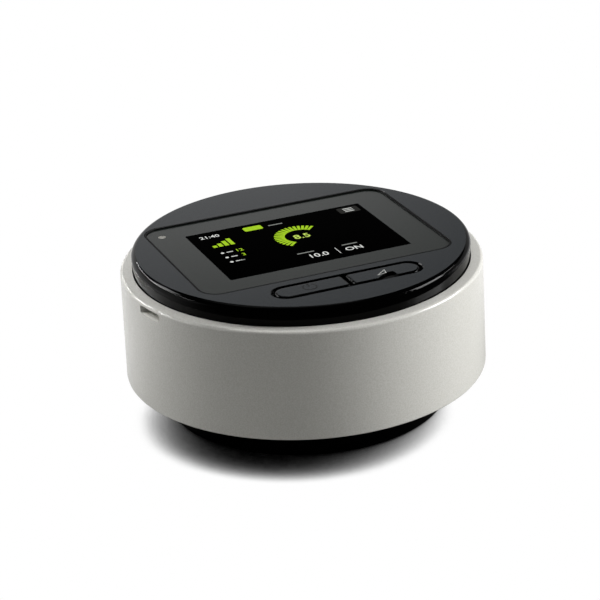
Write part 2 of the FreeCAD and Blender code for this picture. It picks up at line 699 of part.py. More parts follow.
def board_spots():
    return [(WINDOW_X + side * BOARD_POST_X, WINDOW_Y + end * BOARD_POST_Y)
            for side in (-1, 1) for end in (-1, 1)]


def display_bracket():
    """Tray that holds the display cell against the lid and carries the main board below."""
    width = LCD_W + 2 * (BRACKET_RIM + SEAT)
    height = LCD_H + 2 * (BRACKET_RIM + SEAT)
    tray = plate(width + BRACKET_RIM, height, WINDOW_X, WINDOW_Y, BRACKET_R, BRACKET_Z, LCD_Z + LCD_T / 2)
    room = plate(LCD_W + 2 * SEAT, LCD_H + 2 * SEAT, WINDOW_X, WINDOW_Y, SEAT, BRACKET_Z + THIN, LCD_TOP)
    parts = [tray.cut(room)]
    for x, y in bracket_spots():
        parts.append(disc(BRACKET_EAR_R, BRACKET_Z, BRACKET_Z + THIN, x, y))
        inner_x = WINDOW_X + math.copysign(LCD_W / 2 - BRACKET_RIM, x)
        x0, x1 = sorted((inner_x, x))
        parts.append(block(x0, x1, y - BRACKET_EAR_R, y + BRACKET_EAR_R, BRACKET_Z, BRACKET_Z + THIN))
    for x, y in board_spots():
        parts.append(disc(BOARD_POST_R, BOARD_TOP + SEAT, BRACKET_Z + SEAT, x, y))
    cuts = [flex_slot()]
    for x, y in bracket_spots():
        cuts.append(disc(SMALL_SCREW_R + SEAT, BRACKET_Z - SEAT, BRACKET_Z + THIN + SEAT, x, y))
    for x, y in board_spots():
        cuts.append(disc(SMALL_SCREW_R + SEAT / 2, BOARD_TOP, BRACKET_Z, x, y))
    window = plate(LCD_W - 2 * BRACKET_FLOOR_X, LCD_H - 2 * BRACKET_FLOOR_Y, WINDOW_X, WINDOW_Y,
                   BRACKET_FLOOR_R, BRACKET_Z - SEAT, BRACKET_Z + THIN + SEAT)
    return without(joined(parts), cuts + [window])


def bracket_screws():
    tip = TOP - SMALL_SCREW_R - FIT
    return [screw(x, y, BRACKET_Z, tip, SMALL_SCREW_R) for x, y in bracket_spots()]


def flex_route():
    """Turning points of the display's ribbon, from the cell's edge down to the main board."""
    near = WINDOW_X + LCD_W / 2 + SEAT
    far = near + BRACKET_RIM + FLEX_T
    low = BOARD_TOP + 4 * FLEX_T
    high = LCD_Z + LCD_T / 2
    return near, far, low, high


def display_flex():
    near, far, low, high = flex_route()
    y0 = WINDOW_Y - FLEX_W / 2
    y1 = WINDOW_Y + FLEX_W / 2
    back = near - 3 * BRACKET_RIM
    pieces = [
        block(near, far, y0, y1, high, high + FLEX_T),
        block(far - FLEX_T, far, y0, y1, low, high + FLEX_T),
        block(back, far, y0, y1, low, low + FLEX_T),
        block(back, back + 2 * BRACKET_RIM, y0, y1, BOARD_TOP + SEAT, low + FLEX_T),
    ]
    return joined(pieces)


# ---------------------------------------------------------------- boards and card socket

def main_board():
    board = disc(BOARD_R, BOARD_Z, BOARD_TOP)
    z0 = BOARD_Z - CLEAR
    z1 = BOARD_TOP + CLEAR
    front = block(-BODY_R, BODY_R, -BODY_R, BOARD_FRONT_Y, z0, z1)
    holes = [disc(SMALL_SCREW_R + SEAT, z0, z1, x, y) for x, y in board_spots()]
    return without(board, [front] + holes)


def board_components():
    """Packages soldered on the main board: processor, memory, driver and connectors."""
    z0 = BOARD_TOP + SEAT / 2
    return [block(x - w / 2, x + w / 2, y - d / 2, y + d / 2, z0, z0 + h) for x, y, w, d, h in PACKAGES]


def board_screws():
    tip = BRACKET_Z - 2 * FIT
    return [screw(x, y, BOARD_Z, tip, SMALL_SCREW_R) for x, y in board_spots()]


def card_socket():
    """Pressed-metal socket for the memory card, behind the slot in the body; drawn facing +Y."""
    width = CARD_W - 2 * FIT
    mouth_y = OPENING_R - FIT
    z0 = BOARD_TOP + SEAT
    z1 = z0 + CARD_SOCKET_H
    can = block(-width / 2, width / 2, mouth_y - CARD_SOCKET_L, mouth_y, z0, z1)
    gap = block(-width / 2 + FIT, width / 2 - FIT, mouth_y - CARD_SOCKET_L + CLEAR, mouth_y + CLEAR,
                z0 + FIT, z1 - FIT)
    return turned(can.cut(gap), CARD_ANGLE)


def buzzer():
    z1 = BOARD_Z - SEAT
    can = disc(BUZZER_R, z1 - BUZZER_H, z1, BUZZER_X, BUZZER_Y)
    z0 = z1 - BUZZER_H
    return can.cut(disc(BUZZER_R / 4, z0 - CLEAR, z0 + CLEAR, BUZZER_X, BUZZER_Y))


# ---------------------------------------------------------------- buttons

def button_spans():
    """Left and right ends of each button along x."""
    left = WELL_X - WELL_W / 2 + GROOVE
    right = WELL_X + WELL_W / 2 - GROOVE
    return (left, WELL_X - DIVIDER / 2), (WELL_X + DIVIDER / 2, right)


def button(span, outer_left, stem_x):
    """Moulded key: rounded cap in the well, a flange under the lid and a stem to its dome."""
    half_h = WELL_H / 2 - GROOVE
    cap = pill(span[0], span[1], half_h, WELL_Y, BUTTON_CORNER, outer_left, FLANGE_TOP, TOP)
    rim = [edge for edge in cap.Edges if min(v.Z for v in edge.Vertexes) > TOP - TINY]
    cap = cap.makeFillet(BUTTON_EDGE, rim)
    over = GROOVE + FLANGE_OVER
    x0 = span[0] - (over if outer_left else 0)
    x1 = span[1] + (0 if outer_left else over)
    flange = pill(x0, x1, half_h + over, WELL_Y, BUTTON_CORNER, outer_left, FLANGE_Z, FLANGE_TOP)
    stem = disc(STEM_R, STEM_Z, FLANGE_Z, stem_x, WELL_Y)
    return joined([cap, flange, stem])


def power_button():
    return button(button_spans()[0], True, POWER_X)


def ramp_button():
    front_y = WELL_Y - WELL_H / 2
    notch = prism([(NOTCH_FOOT[0], front_y), (NOTCH_FOOT[1], front_y),
                   (NOTCH_HEAD[1], NOTCH_REAR_Y), (NOTCH_HEAD[0], NOTCH_REAR_Y)],
                  [0, 0, BREAK, BREAK], TOP - NOTCH_DEPTH, TOP + SEAT)
    return button(button_spans()[1], False, RAMP_X).cut(notch)


def dome(x):
    """Silicone return dome, hollow, standing on the button board."""
    z0 = BUTTON_BOARD_TOP + SEAT / 2
    height = DOME_TOP - z0
    outer = Part.makeCone(DOME_R, DOME_TIP_R, height, V(x, WELL_Y, z0))
    inner = Part.makeCone(DOME_R - DOME_SKIN, DOME_TIP_R - DOME_SKIN, height - DOME_SKIN, V(x, WELL_Y, z0))
    return outer.cut(inner)


def button_board():
    z1 = BUTTON_BOARD_TOP
    z0 = z1 - THIN
    narrow = plate(2 * (BUTTON_EAR_X + BUTTON_EAR_R), 2 * BUTTON_EAR_R, WELL_X, WELL_Y,
                   BUTTON_EAR_R - HAIR, z0, z1)
    wide = plate(2 * (BUTTON_EAR_X - 2 * BUTTON_EAR_R), BUTTON_BOARD_H, WELL_X, WELL_Y,
                 BOARD_CORNER_R, z0, z1)
    holes = [disc(SMALL_SCREW_R + SEAT, z0 - CLEAR, z1 + CLEAR, x, y) for x, y in button_board_spots()]
    return without(joined([narrow, wide]), holes)


def button_board_screws():
    z0 = BUTTON_BOARD_TOP - THIN
    tip = BUTTON_BOARD_TOP + 3 * THIN
    return [screw(x, y, z0, tip, SMALL_SCREW_R) for x, y in button_board_spots()]


# ---------------------------------------------------------------- chassis and blower

def lug_centres():
    centres = []
    for angle, distance in zip(LUG_ANGLES, LUG_REACH):
        x, y = spot(angle, distance)
        centres.append((BLOWER_X + x, BLOWER_Y + y))
    return centres


def duct_opening(grow):
    """Air passage from the filter duct down through the chassis; drawn facing +Y."""
    return block(-FILTER_W / 3 - grow, FILTER_W / 3 + grow, DUCT_Y0 + THIN - grow, DUCT_Y1 + grow,
                 CHASSIS_Z - CLEAR, CHASSIS_TOP + 2 * WALL)


def inner_chassis():
    floor = disc(CHASSIS_R, CHASSIS_Z, CHASSIS_TOP)
    rim = ring(CHASSIS_R, CHASSIS_R - THIN, CHASSIS_TOP - SEAT, CHASSIS_TOP + THIN)
    posts = [disc(BOARD_POST_R, CHASSIS_TOP - SEAT, POWER_BOARD_Z - SEAT, x, y)
             for x, y in power_board_spots()]
    z0 = CHASSIS_Z - CLEAR
    z1 = CHASSIS_TOP + CLEAR
    cuts = [disc(EYE_R + BLOWER_WALL + 2 * FIT, z0, z1, BLOWER_X, BLOWER_Y),
            turned(duct_opening(THIN + FIT), FILTER_ANGLE),
            turned(filter_box(THIN + FIT, DUCT_Y0 - FIT, BODY_R), FILTER_ANGLE)]
    cuts += [disc(LUG_HOLE_R, z0, z1, x, y) for x, y in lug_centres()]
    for angle in CHASSIS_ANGLES:
        cuts.append(disc(CASE_SCREW_R + SEAT, z0, z1, *spot(angle, CHASSIS_BOSS_AT)))
    cuts += [disc(SMALL_SCREW_R + SEAT / 2, CHASSIS_TOP + SEAT, POWER_BOARD_Z, x, y)
             for x, y in power_board_spots()]
    return without(joined([floor, rim] + posts), cuts)


def chassis_screws():
    tip = BASE_INNER_Z + 2 * WALL
    return [screw(*spot(angle, CHASSIS_BOSS_AT), CHASSIS_TOP, tip, CASE_SCREW_R) for angle in CHASSIS_ANGLES]


def intake_foam():
    z0 = BASE_INNER_Z + SEAT
    return ring(FOAM_R, FOAM_R - FOAM_W, z0, z0 + FOAM_T)


def quarter(cx, cy, radius, turns):
    """Quarter circle about (cx, cy), after so many quarter turns, in plan at height zero."""
    points = []
    for share in (0.0, 0.5, 1.0):
        x, y = spot((turns + share) * QUARTER_TURN, radius)
        points.append(V(cx + x, cy + y, 0))
    return Part.Arc(*points).toShape()


def volute(grow, z0, z1):
    """Spiral chamber: four quarter circles, each larger than the last by one step."""
    step = VOLUTE_STEP
    x, y = BLOWER_X, BLOWER_Y
    r = VOLUTE_R + grow
    arcs = [
        quarter(x, y, r, 0),
        quarter(x, y - step, r + step, 1),
        quarter(x + step, y - step, r + 2 * step, 2),
        quarter(x + step, y, r + 3 * step, 3),
    ]
    closing = Part.LineSegment(V(x + r + 4 * step, y, 0), V(x + r, y, 0)).toShape()
    spiral = Part.Face(Part.Wire([arcs[0]] + arcs[1:] + [closing]))
    spiral.translate(V(0, 0, z0))
    end_y = SPIGOT_Y + (BLOWER_WALL if grow > 0 else 0)
    channel = block(CHANNEL_X0 - grow, CHANNEL_X1 + grow, BLOWER_Y - CLEAR, end_y, z0, z1)
    return spiral.extrude(V(0, 0, z1 - z0)).fuse(channel)


def blower_casing():
    """The whole blower casing before it is split at the channel's mid height."""
    shell = volute(BLOWER_WALL, BLOWER_Z, BLOWER_TOP)
    spigot = tube_y(SPIGOT_R, SPIGOT_Y, SPIGOT_Y + BLOWER_WALL + SPIGOT_L, OUTLET_X, OUTLET_Z)
    collar = disc(EYE_R + BLOWER_WALL, CHASSIS_Z + SEAT, BLOWER_Z + SEAT, BLOWER_X, BLOWER_Y)
    parts = [shell, spigot, collar]
    for x, y in lug_centres():
        parts.append(disc(LUG_R, BLOWER_Z, BLOWER_Z + LUG_T, x, y))
        reach = math.hypot(x - BLOWER_X, y - BLOWER_Y)
        web = block(0, reach, -LUG_WEB_W / 2, LUG_WEB_W / 2, BLOWER_Z, BLOWER_Z + LUG_T)
        web.rotate(V(0, 0, 0), V(0, 0, 1), math.degrees(math.atan2(y - BLOWER_Y, x - BLOWER_X)))
        web.translate(V(BLOWER_X, BLOWER_Y, 0))
        parts.append(web)
    cuts = [
        volute(0, CHANNEL_Z, ROOF_Z),
        tube_y(SPIGOT_BORE_R, SPIGOT_Y - CLEAR, SPIGOT_Y + BLOWER_WALL + SPIGOT_L + CLEAR,
               OUTLET_X, OUTLET_Z),
        disc(EYE_R, CHASSIS_Z, CHANNEL_Z + SEAT, BLOWER_X, BLOWER_Y),
    ]
    cuts += [disc(LUG_HOLE_R, BLOWER_Z - CLEAR, BLOWER_Z + LUG_T + CLEAR, x, y) for x, y in lug_centres()]
    seat_r = BEARING_R + BLOWER_WALL
    casing = without(joined(parts), cuts)
    casing = casing.fuse(disc(seat_r, LOW_BEARING_Z - BEARING_SHELF, ROOF_Z + SEAT, BLOWER_X, BLOWER_Y))
    bores = [
        disc(BEARING_R + SEAT, LOW_BEARING_Z - SEAT, BLOWER_TOP + CLEAR, BLOWER_X, BLOWER_Y),
        disc(SHAFT_R + FIT, LOW_BEARING_Z - 2 * BEARING_SHELF, BLOWER_TOP + CLEAR, BLOWER_X, BLOWER_Y),
    ]
    return without(casing, bores)


def blower_half(upper):
    big = 2 * BODY_R
    z0, z1 = (OUTLET_Z, big) if upper else (-big, OUTLET_Z)
    half = blower_casing().common(block(-big, big, -big, big, z0, z1))
    flange = volute(BLOWER_WALL + THIN, OUTLET_Z - THIN, OUTLET_Z + THIN)
    flange = flange.cut(volute(BLOWER_WALL, OUTLET_Z - 2 * THIN, OUTLET_Z + 2 * THIN))
    limit = block(-big, big, -big, SPIGOT_Y, z0, z1)
    half = half.fuse(flange.common(limit)).removeSplitter()
    if upper:
        socket = ring(MOTOR_R + SEAT + THIN, MOTOR_R + SEAT, BLOWER_TOP - SEAT, BLOWER_TOP + THIN,
                      BLOWER_X, BLOWER_Y)
        half = half.fuse(socket).removeSplitter()
    return half


def blower_mounts():
    """Silicone grommets between the blower's lugs and the chassis."""
    mounts = []
    neck_r = LUG_HOLE_R - SEAT
    for x, y in lug_centres():
        body = disc(LUG_R - SEAT, CHASSIS_TOP + SEAT, BLOWER_Z - SEAT, x, y)
        neck = disc(neck_r, CHASSIS_Z - SEAT, BLOWER_Z + LUG_T + SEAT, x, y)
        cap = Part.makeCone(neck_r + GROMMET_LIP, neck_r - GROMMET_LIP, THIN, V(x, y, BLOWER_Z + LUG_T + SEAT))
        toe = Part.makeCone(neck_r - GROMMET_LIP, neck_r + GROMMET_LIP, THIN, V(x, y, CHASSIS_Z - SEAT - THIN))
        mounts.append(joined([body, neck, cap, toe]))
    return mounts


def blade(angle):
    """Backward-swept blade of even thickness, drawn from eye to rim."""
    out_r = IMPELLER_R - SEAT
    radii = (BLADE_IN_R, (BLADE_IN_R + out_r) / 2, out_r)
    sweeps = (0, BLADE_SWEEP * BLADE_LEAN, BLADE_SWEEP)
    sides = []
    for sign in (-1, 1):
        points = []
        for radius, sweep in zip(radii, sweeps):
            half = math.degrees(BLADE_T / 2 / radius) * sign
            x, y = spot(angle - sweep + half, radius)
            points.append(V(x, y, 0))
        sides.append(points)
    edges = [
        Part.Arc(*sides[0]).toShape(),
        Part.LineSegment(sides[0][2], sides[1][2]).toShape(),
        Part.Arc(*reversed(sides[1])).toShape(),
        Part.LineSegment(sides[1][0], sides[0][0]).toShape(),
    ]
    face = Part.Face(Part.Wire(edges))
    face.translate(V(BLOWER_X, BLOWER_Y, IMPELLER_Z + PLATE_T / 2))
    return face.extrude(V(0, 0, IMPELLER_H - PLATE_T))


def impeller():
    x, y = BLOWER_X, BLOWER_Y
    parts = [
        disc(IMPELLER_R, IMPELLER_TOP - PLATE_T, IMPELLER_TOP, x, y),
        ring(IMPELLER_R, EYE_R + FIT, IMPELLER_Z, IMPELLER_Z + PLATE_T, x, y),
        Part.makeCone(HUB_TIP_R, HUB_R, IMPELLER_H - PLATE_T, V(x, y, IMPELLER_Z + SEAT)),
    ]
    parts += [blade(360 * index / BLADE_COUNT) for index in range(BLADE_COUNT)]
    return joined(parts).cut(disc(SHAFT_R + RUN / 2, IMPELLER_Z - CLEAR, IMPELLER_TOP + CLEAR, x, y))


def motor_shaft():
    shaft = disc(SHAFT_R, IMPELLER_Z + PLATE_T, SHAFT_TOP, BLOWER_X, BLOWER_Y)
    ends = [edge for edge in shaft.Edges if len(edge.Vertexes) == 1]
    return shaft.makeChamfer(FIT, ends)


def bearing(z0):
    """Shielded ball bearing shown as one piece with its two races and sunk shields."""
    x, y = BLOWER_X, BLOWER_Y
    body = ring(BEARING_R, SHAFT_R + RUN, z0, z0 + BEARING_H, x, y)
    step = (BEARING_R - SHAFT_R) / 3
    z1 = z0 + BEARING_H
    sunk = [ring(BEARING_R - step, SHAFT_R + step, z0 - CLEAR, z0 + SHIELD_SINK, x, y),
            ring(BEARING_R - step, SHAFT_R + step, z1 - SHIELD_SINK, z1 + CLEAR, x, y)]
    return without(body, sunk)


def motor_stator():
    x, y = BLOWER_X, BLOWER_Y
    core = ring(MOTOR_R - THIN - 2 * SEAT, STATOR_IN_R, STATOR_Z, STATOR_Z + STATOR_H, x, y)
    mid_r = (MOTOR_R - THIN + STATOR_IN_R) / 2
    z0 = STATOR_Z - CLEAR
    z1 = STATOR_Z + STATOR_H + CLEAR
    cuts = []
    for index in range(STATOR_SLOTS):
        angle = 360 * index / STATOR_SLOTS
        sx, sy = spot(angle, mid_r)
        cuts.append(disc(STATOR_SLOT_R, z0, z1, x + sx, y + sy))
        slit = block(STATOR_IN_R - CLEAR, mid_r, -STATOR_SLIT / 2, STATOR_SLIT / 2, z0, z1)
        slit.rotate(V(0, 0, 0), V(0, 0, 1), angle)
        slit.translate(V(x, y, 0))
        cuts.append(slit)
    return without(core, cuts)


def rotor_magnet():
    return ring(STATOR_IN_R - MAGNET_GAP, SHAFT_R + RUN / 2, STATOR_Z, STATOR_Z + STATOR_H,
                BLOWER_X, BLOWER_Y)


def motor_cap():
    x, y = BLOWER_X, BLOWER_Y
    cap = disc(MOTOR_R, BLOWER_TOP + SEAT, MOTOR_TOP, x, y)
    cap = cap.cut(disc(MOTOR_R - THIN, BLOWER_TOP, MOTOR_TOP - THIN, x, y))
    seat = disc(BEARING_R + THIN, TOP_BEARING_Z - SEAT, MOTOR_TOP - THIN + SEAT, x, y)
    bore = disc(BEARING_R + SEAT, TOP_BEARING_Z - CLEAR, MOTOR_TOP + CLEAR, x, y)
    vents = []
    for index in range(STATOR_SLOTS):
        sx, sy = spot(360 * (index + 0.5) / STATOR_SLOTS, (MOTOR_R + BEARING_R) / 2)
        vents.append(disc(THIN, MOTOR_TOP - THIN - CLEAR, MOTOR_TOP + CLEAR, x + sx, y + sy))
    return without(joined([cap, seat]), [bore] + vents)


# ---------------------------------------------------------------- air outlet

def outlet_port():
    """Hose connector: inner duct, flange inside the wall, collar through it, 22 mm seat outside."""
    y0 = PORT_START_Y
    collar_y = PORT_WALL_Y + PORT_COLLAR_PROUD
    parts = [
        (SPIGOT_R, y0, y0 + SPIGOT_L + FIT),
        (PORT_DUCT_R, y0 + SPIGOT_L, PORT_FLANGE_Y),
        (PORT_FLANGE_R, PORT_FLANGE_Y - PORT_FLANGE_T, PORT_FLANGE_Y),
        (PORT_COLLAR_R, PORT_FLANGE_Y - SEAT, collar_y),
        (PORT_R, collar_y - SEAT, PORT_END_Y),
    ]
    solid = joined([tube_y(r, a, b, OUTLET_X, OUTLET_Z) for r, a, b in parts])
    mouth = [edge for edge in solid.Edges if edge.BoundBox.YMin > PORT_END_Y - TINY]
    solid = solid.makeChamfer(BREAK * 2, mouth)
    throat = PORT_FLANGE_Y - PORT_FLANGE_T
    bores = [
        tube_y(SPIGOT_BORE_R, y0 - CLEAR, throat + CLEAR, OUTLET_X, OUTLET_Z),
        Part.makeCone(SPIGOT_BORE_R, PORT_BORE_R, PORT_FLANGE_T, V(OUTLET_X, throat, OUTLET_Z), V(0, 1, 0)),
        tube_y(PORT_BORE_R, throat + PORT_FLANGE_T - SEAT, PORT_END_Y + CLEAR, OUTLET_X, OUTLET_Z),
    ]
    return without(solid, bores)


def outlet_gasket():
    """Soft ring squeezed between the port's flange and the body's wall."""
    blank = tube_y(PORT_FLANGE_R, PORT_FLANGE_Y + SEAT, BODY_R, OUTLET_X, OUTLET_Z)
    blank = blank.cut(tube_y(PORT_COLLAR_R + SEAT, 0, BEYOND, OUTLET_X, OUTLET_Z))
    return blank.common(disc(INNER_R - SEAT, 0, TOP))


def outlet_coupling():
    """Bellows sleeve that carries air from the blower to the port without passing vibration."""
    y0 = SPIGOT_Y + BLOWER_WALL + SEAT
    sleeve_r = SPIGOT_R + SEAT + COUPLING_T / 2
    length = COUPLING_L - 2 * SEAT
    parts = [tube_y(sleeve_r, y0, y0 + length, OUTLET_X, OUTLET_Z)]
    pitch = length / COUPLING_RIBS
    for index in range(COUPLING_RIBS):
        start = y0 + pitch * (index + 0.25)
        parts.append(tube_y(sleeve_r + COUPLING_T / 2, start, start + pitch / 2, OUTLET_X, OUTLET_Z))
    bore = tube_y(SPIGOT_R + SEAT, y0 - CLEAR, y0 + length + CLEAR, OUTLET_X, OUTLET_Z)
    return joined(parts).cut(bore)


def flow_sensor():
    """Flow and pressure sensor on a saddle over the port's inner duct."""
    length, width, height = SENSOR_BLOCK
    y0 = (PORT_START_Y + SPIGOT_L + PORT_FLANGE_Y - PORT_FLANGE_T - length) / 2
    z0 = OUTLET_Z + PORT_DUCT_R
    saddle = block(OUTLET_X - width / 2, OUTLET_X + width / 2, y0, y0 + length, z0 - WALL, z0 + height)
    duct = tube_y(PORT_DUCT_R + SEAT, y0 - CLEAR, y0 + length + CLEAR, OUTLET_X, OUTLET_Z)
    return saddle.cut(duct)


# ---------------------------------------------------------------- filter

def intake_duct():
    """Filter box behind the wall, with a foot that leads the air down through the chassis."""
    rim = FILTER_W / 2 - SEAT * 2
    shoulder_y = math.sqrt(INNER_R**2 - rim**2) - FILTER_T - 2 * FIT
    outer = filter_box(THIN, DUCT_Y0, BODY_R).common(disc(INNER_R - FIT, 0, TOP))
    foot = duct_opening(THIN).common(block(-BODY_R, BODY_R, 0, BODY_R, CHASSIS_Z, FILTER_Z))
    cuts = [
        filter_box(-2 * SEAT, shoulder_y, BODY_R),
        filter_box(-THIN - 2 * SEAT, DUCT_Y0 + THIN, BODY_R),
        duct_opening(0).common(block(-BODY_R, BODY_R, 0, BODY_R, 0, FILTER_Z)),
    ]
    return turned(without(joined([outer, foot]), cuts), FILTER_ANGLE)


def air_filter():
    rim = FILTER_W / 2 - SEAT * 2
    y1 = math.sqrt(INNER_R**2 - rim**2) - 2 * SEAT
    return turned(filter_box(-2 * SEAT - FIT, y1 - FILTER_T, y1), FILTER_ANGLE)


def filter_cover():
    """Curved grille, flush with the body, with a frame behind it that grips the filter."""
    rim = FILTER_W / 2 - SEAT * 2
    frame_y = math.sqrt(INNER_R**2 - rim**2)
    wall = turned_profile([(BODY_R + BODY_DRAFT, FOOT_H), (BODY_R, BODY_TOP),
                           (INNER_R, BODY_TOP), (INNER_R + BODY_DRAFT, FOOT_H)])
    skin = wall.common(filter_box(0, 0, BEYOND))
    frame = filter_box(-2 * SEAT - FIT, frame_y, BODY_R).cut(filter_box(-2 * THIN, 0, BODY_R))
    frame = frame.common(disc(INNER_R + BODY_DRAFT, 0, TOP))
    cuts = []
    for index in range(GRILLE_SLOTS):
        x = (index - (GRILLE_SLOTS - 1) / 2) * GRILLE_PITCH
        points = rectangle(GRILLE_SLOT, GRILLE_H, x, FILTER_Z)
        wire = outline(points, [GRILLE_SLOT / 2 - HAIR] * 4, lambda a, b: V(a, 0, b))
        cuts.append(Part.Face(wire).extrude(V(0, BEYOND, 0)))
    nail_z = FILTER_Z + FILTER_H / 2
    nail = Part.makeCylinder(THIN, NAIL_W, V(-NAIL_W / 2, BODY_R + BODY_DRAFT, nail_z), V(1, 0, 0))
    return turned(without(joined([skin, frame]), cuts + [nail]), FILTER_ANGLE)


# ---------------------------------------------------------------- power inlet

def power_board_spots():
    """Screw posts of the power board, turned with it."""
    spots = []
    for x in (POWER_BOARD_X[0] + BOARD_POST_R, POWER_BOARD_X[1] - BOARD_POST_R):
        point = V(x, POWER_BOARD_Y0 + BOARD_POST_R, 0)
        turn = FreeCAD.Rotation(V(0, 0, 1), DC_ANGLE)
        place = turn.multVec(point)
        spots.append((place.x, place.y))
    return spots


def power_board():
    z1 = POWER_BOARD_Z + THIN
    board = turned(block(*POWER_BOARD_X, POWER_BOARD_Y0, POWER_BOARD_Y1, POWER_BOARD_Z, z1), DC_ANGLE)
    holes = [disc(SMALL_SCREW_R + SEAT, POWER_BOARD_Z - CLEAR, z1 + CLEAR, x, y)
             for x, y in power_board_spots()]
    return without(board, holes)


def power_board_screws():
    z1 = POWER_BOARD_Z + THIN
    return [screw(x, y, z1, CHASSIS_TOP + 2 * FIT, SMALL_SCREW_R) for x, y in power_board_spots()]


def power_components():
    """Smoothing capacitors and the choke on the power board."""
    z0 = POWER_BOARD_Z + THIN + SEAT
    x0 = POWER_BOARD_X[0] + CAP_R + CAP_EDGE
    y1 = POWER_BOARD_Y1 - CAP_R - CAP_EDGE
    can_a = disc(CAP_R, z0, z0 + CAP_H, x0, y1)
    can_b = disc(CAP_R, z0, z0 + CAP_H, x0, y1 - 2 * CAP_R - CAP_GAP)
    width, depth, height = CHOKE
    choke_x = x0 + CAP_R + CAP_EDGE
    choke_y = POWER_BOARD_Y0 + CHOKE_IN
    choke = block(choke_x, choke_x + width, choke_y, choke_y + depth, z0, z0 + height)
    return [turned(shape, DC_ANGLE) for shape in (can_a, can_b, choke)]


def dc_front_y():
    return math.sqrt(BODY_R**2 - DC_R**2)


def dc_inlet():
    """Coaxial power socket: round front bushing in the wall, block on the power board."""
    width, depth, height = DC_BLOCK
    y1 = dc_front_y()
    shoulder_y = INNER_R - WALL
    z0 = POWER_BOARD_Z + THIN + SEAT
    body = block(-width / 2, width / 2, shoulder_y - depth, shoulder_y, z0, z0 + height)
    bushing = tube_y(DC_R - FIT / 2, shoulder_y - SEAT, y1, 0, DC_Z)
    bore = tube_y(DC_BORE_R, y1 - DC_BORE_L, y1 + CLEAR, 0, DC_Z)
    return turned(without(joined([body, bushing]), [bore]), DC_ANGLE)


def dc_pin():
    y1 = dc_front_y()
    pin = tube_y(DC_PIN_R, y1 - DC_BORE_L + SEAT, y1 - PIN_SINK, 0, DC_Z)
    tip = Part.makeSphere(DC_PIN_R, V(0, y1 - PIN_SINK, DC_Z))
    return turned(pin.fuse(tip).removeSplitter(), DC_ANGLE)


# ---------------------------------------------------------------- export

NODES = {
    "base_pad": base_pad,
    "base_housing": base_housing,
    "case_screws": case_screws,
    "outer_shell": outer_shell,
    "top_cover": top_cover,
    "display_panel": display_panel,
    "display_window": display_window,
    "light_sensor_lens": light_sensor_lens,
    "lcd_module": lcd_module,
    "display_bracket": display_bracket,
    "bracket_screws": bracket_screws,
    "display_flex": display_flex,
    "main_board": main_board,
    "board_components": board_components,
    "board_screws": board_screws,
    "card_socket": card_socket,
    "buzzer": buzzer,
    "power_button": power_button,
    "ramp_button": ramp_button,
    "power_dome": lambda: dome(POWER_X),
    "ramp_dome": lambda: dome(RAMP_X),
    "button_board": button_board,
    "button_board_screws": button_board_screws,
    "inner_chassis": inner_chassis,
    "chassis_screws": chassis_screws,
    "intake_foam": intake_foam,
    "blower_lower": lambda: blower_half(False),
    "blower_upper": lambda: blower_half(True),
    "blower_mounts": blower_mounts,
    "impeller": impeller,
    "motor_shaft": motor_shaft,
    "bearing_lower": lambda: bearing(LOW_BEARING_Z),
    "bearing_upper": lambda: bearing(TOP_BEARING_Z),
    "motor_stator": motor_stator,
    "rotor_magnet": rotor_magnet,
    "motor_cap": motor_cap,
    "outlet_port": outlet_port,
    "outlet_gasket": outlet_gasket,
    "outlet_coupling": outlet_coupling,
    "flow_sensor": flow_sensor,
    "intake_duct": intake_duct,
    "air_filter": air_filter,
    "filter_cover": filter_cover,
    "power_board": power_board,
    "power_board_screws": power_board_screws,
    "power_components": power_components,
    "dc_inlet": dc_inlet,
    "dc_pin": dc_pin,
}


def save(node, make):
    shape = make()
    if isinstance(shape, list):
        shape = Part.makeCompound(shape)
    shape.exportStep("parts/" + node + ".step")


os.makedirs("parts", exist_ok=True)
for name, maker in NODES.items():
    save(name, maker)
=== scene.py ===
import math
import bmesh
import bpy
from mathutils import Matrix, Vector


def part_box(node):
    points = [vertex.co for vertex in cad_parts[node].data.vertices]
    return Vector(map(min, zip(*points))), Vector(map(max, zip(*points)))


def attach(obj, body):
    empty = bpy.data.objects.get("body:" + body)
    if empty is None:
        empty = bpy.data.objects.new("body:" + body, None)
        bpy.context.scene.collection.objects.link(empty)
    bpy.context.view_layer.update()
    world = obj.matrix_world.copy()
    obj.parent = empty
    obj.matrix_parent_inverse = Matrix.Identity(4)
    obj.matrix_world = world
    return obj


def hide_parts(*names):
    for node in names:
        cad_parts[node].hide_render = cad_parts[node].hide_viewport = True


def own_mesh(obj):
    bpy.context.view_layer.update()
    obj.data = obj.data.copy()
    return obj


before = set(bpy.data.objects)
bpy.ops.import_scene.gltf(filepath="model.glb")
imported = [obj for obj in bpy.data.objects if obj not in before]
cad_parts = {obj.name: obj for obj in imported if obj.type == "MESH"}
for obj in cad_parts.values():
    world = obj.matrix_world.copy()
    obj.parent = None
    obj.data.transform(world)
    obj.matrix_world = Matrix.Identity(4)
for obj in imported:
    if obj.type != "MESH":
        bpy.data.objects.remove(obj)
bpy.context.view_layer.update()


# ---- White body -------------------------------------------------------------------
# The drum-shaped wall, injection moulded in ABS from a stone-polished tool: a warm light
# grey. The tool's marks give it a soft gloss with a faint speckle instead of a hard shine.

def tint(code):
    """Linear colour of an sRGB hex value."""
    parts = [int(code[i:i + 2], 16) / 255 for i in (0, 2, 4)]
    return tuple(c / 12.92 if c <= 0.04045 else ((c + 0.055) / 1.055) ** 2.4 for c in parts) + (1.0,)


def add(tree, kind, links=None, **settings):
    """One node with its settings; its inputs are joined to sockets or set to values."""
    node = tree.nodes.new(kind)
    for name, value in settings.items():
        setattr(node, name, value)
    for name, value in (links or {}).items():
        if isinstance(value, bpy.types.NodeSocket):
            tree.links.new(value, node.inputs[name])
        else:
            node.inputs[name].default_value = value
    return node


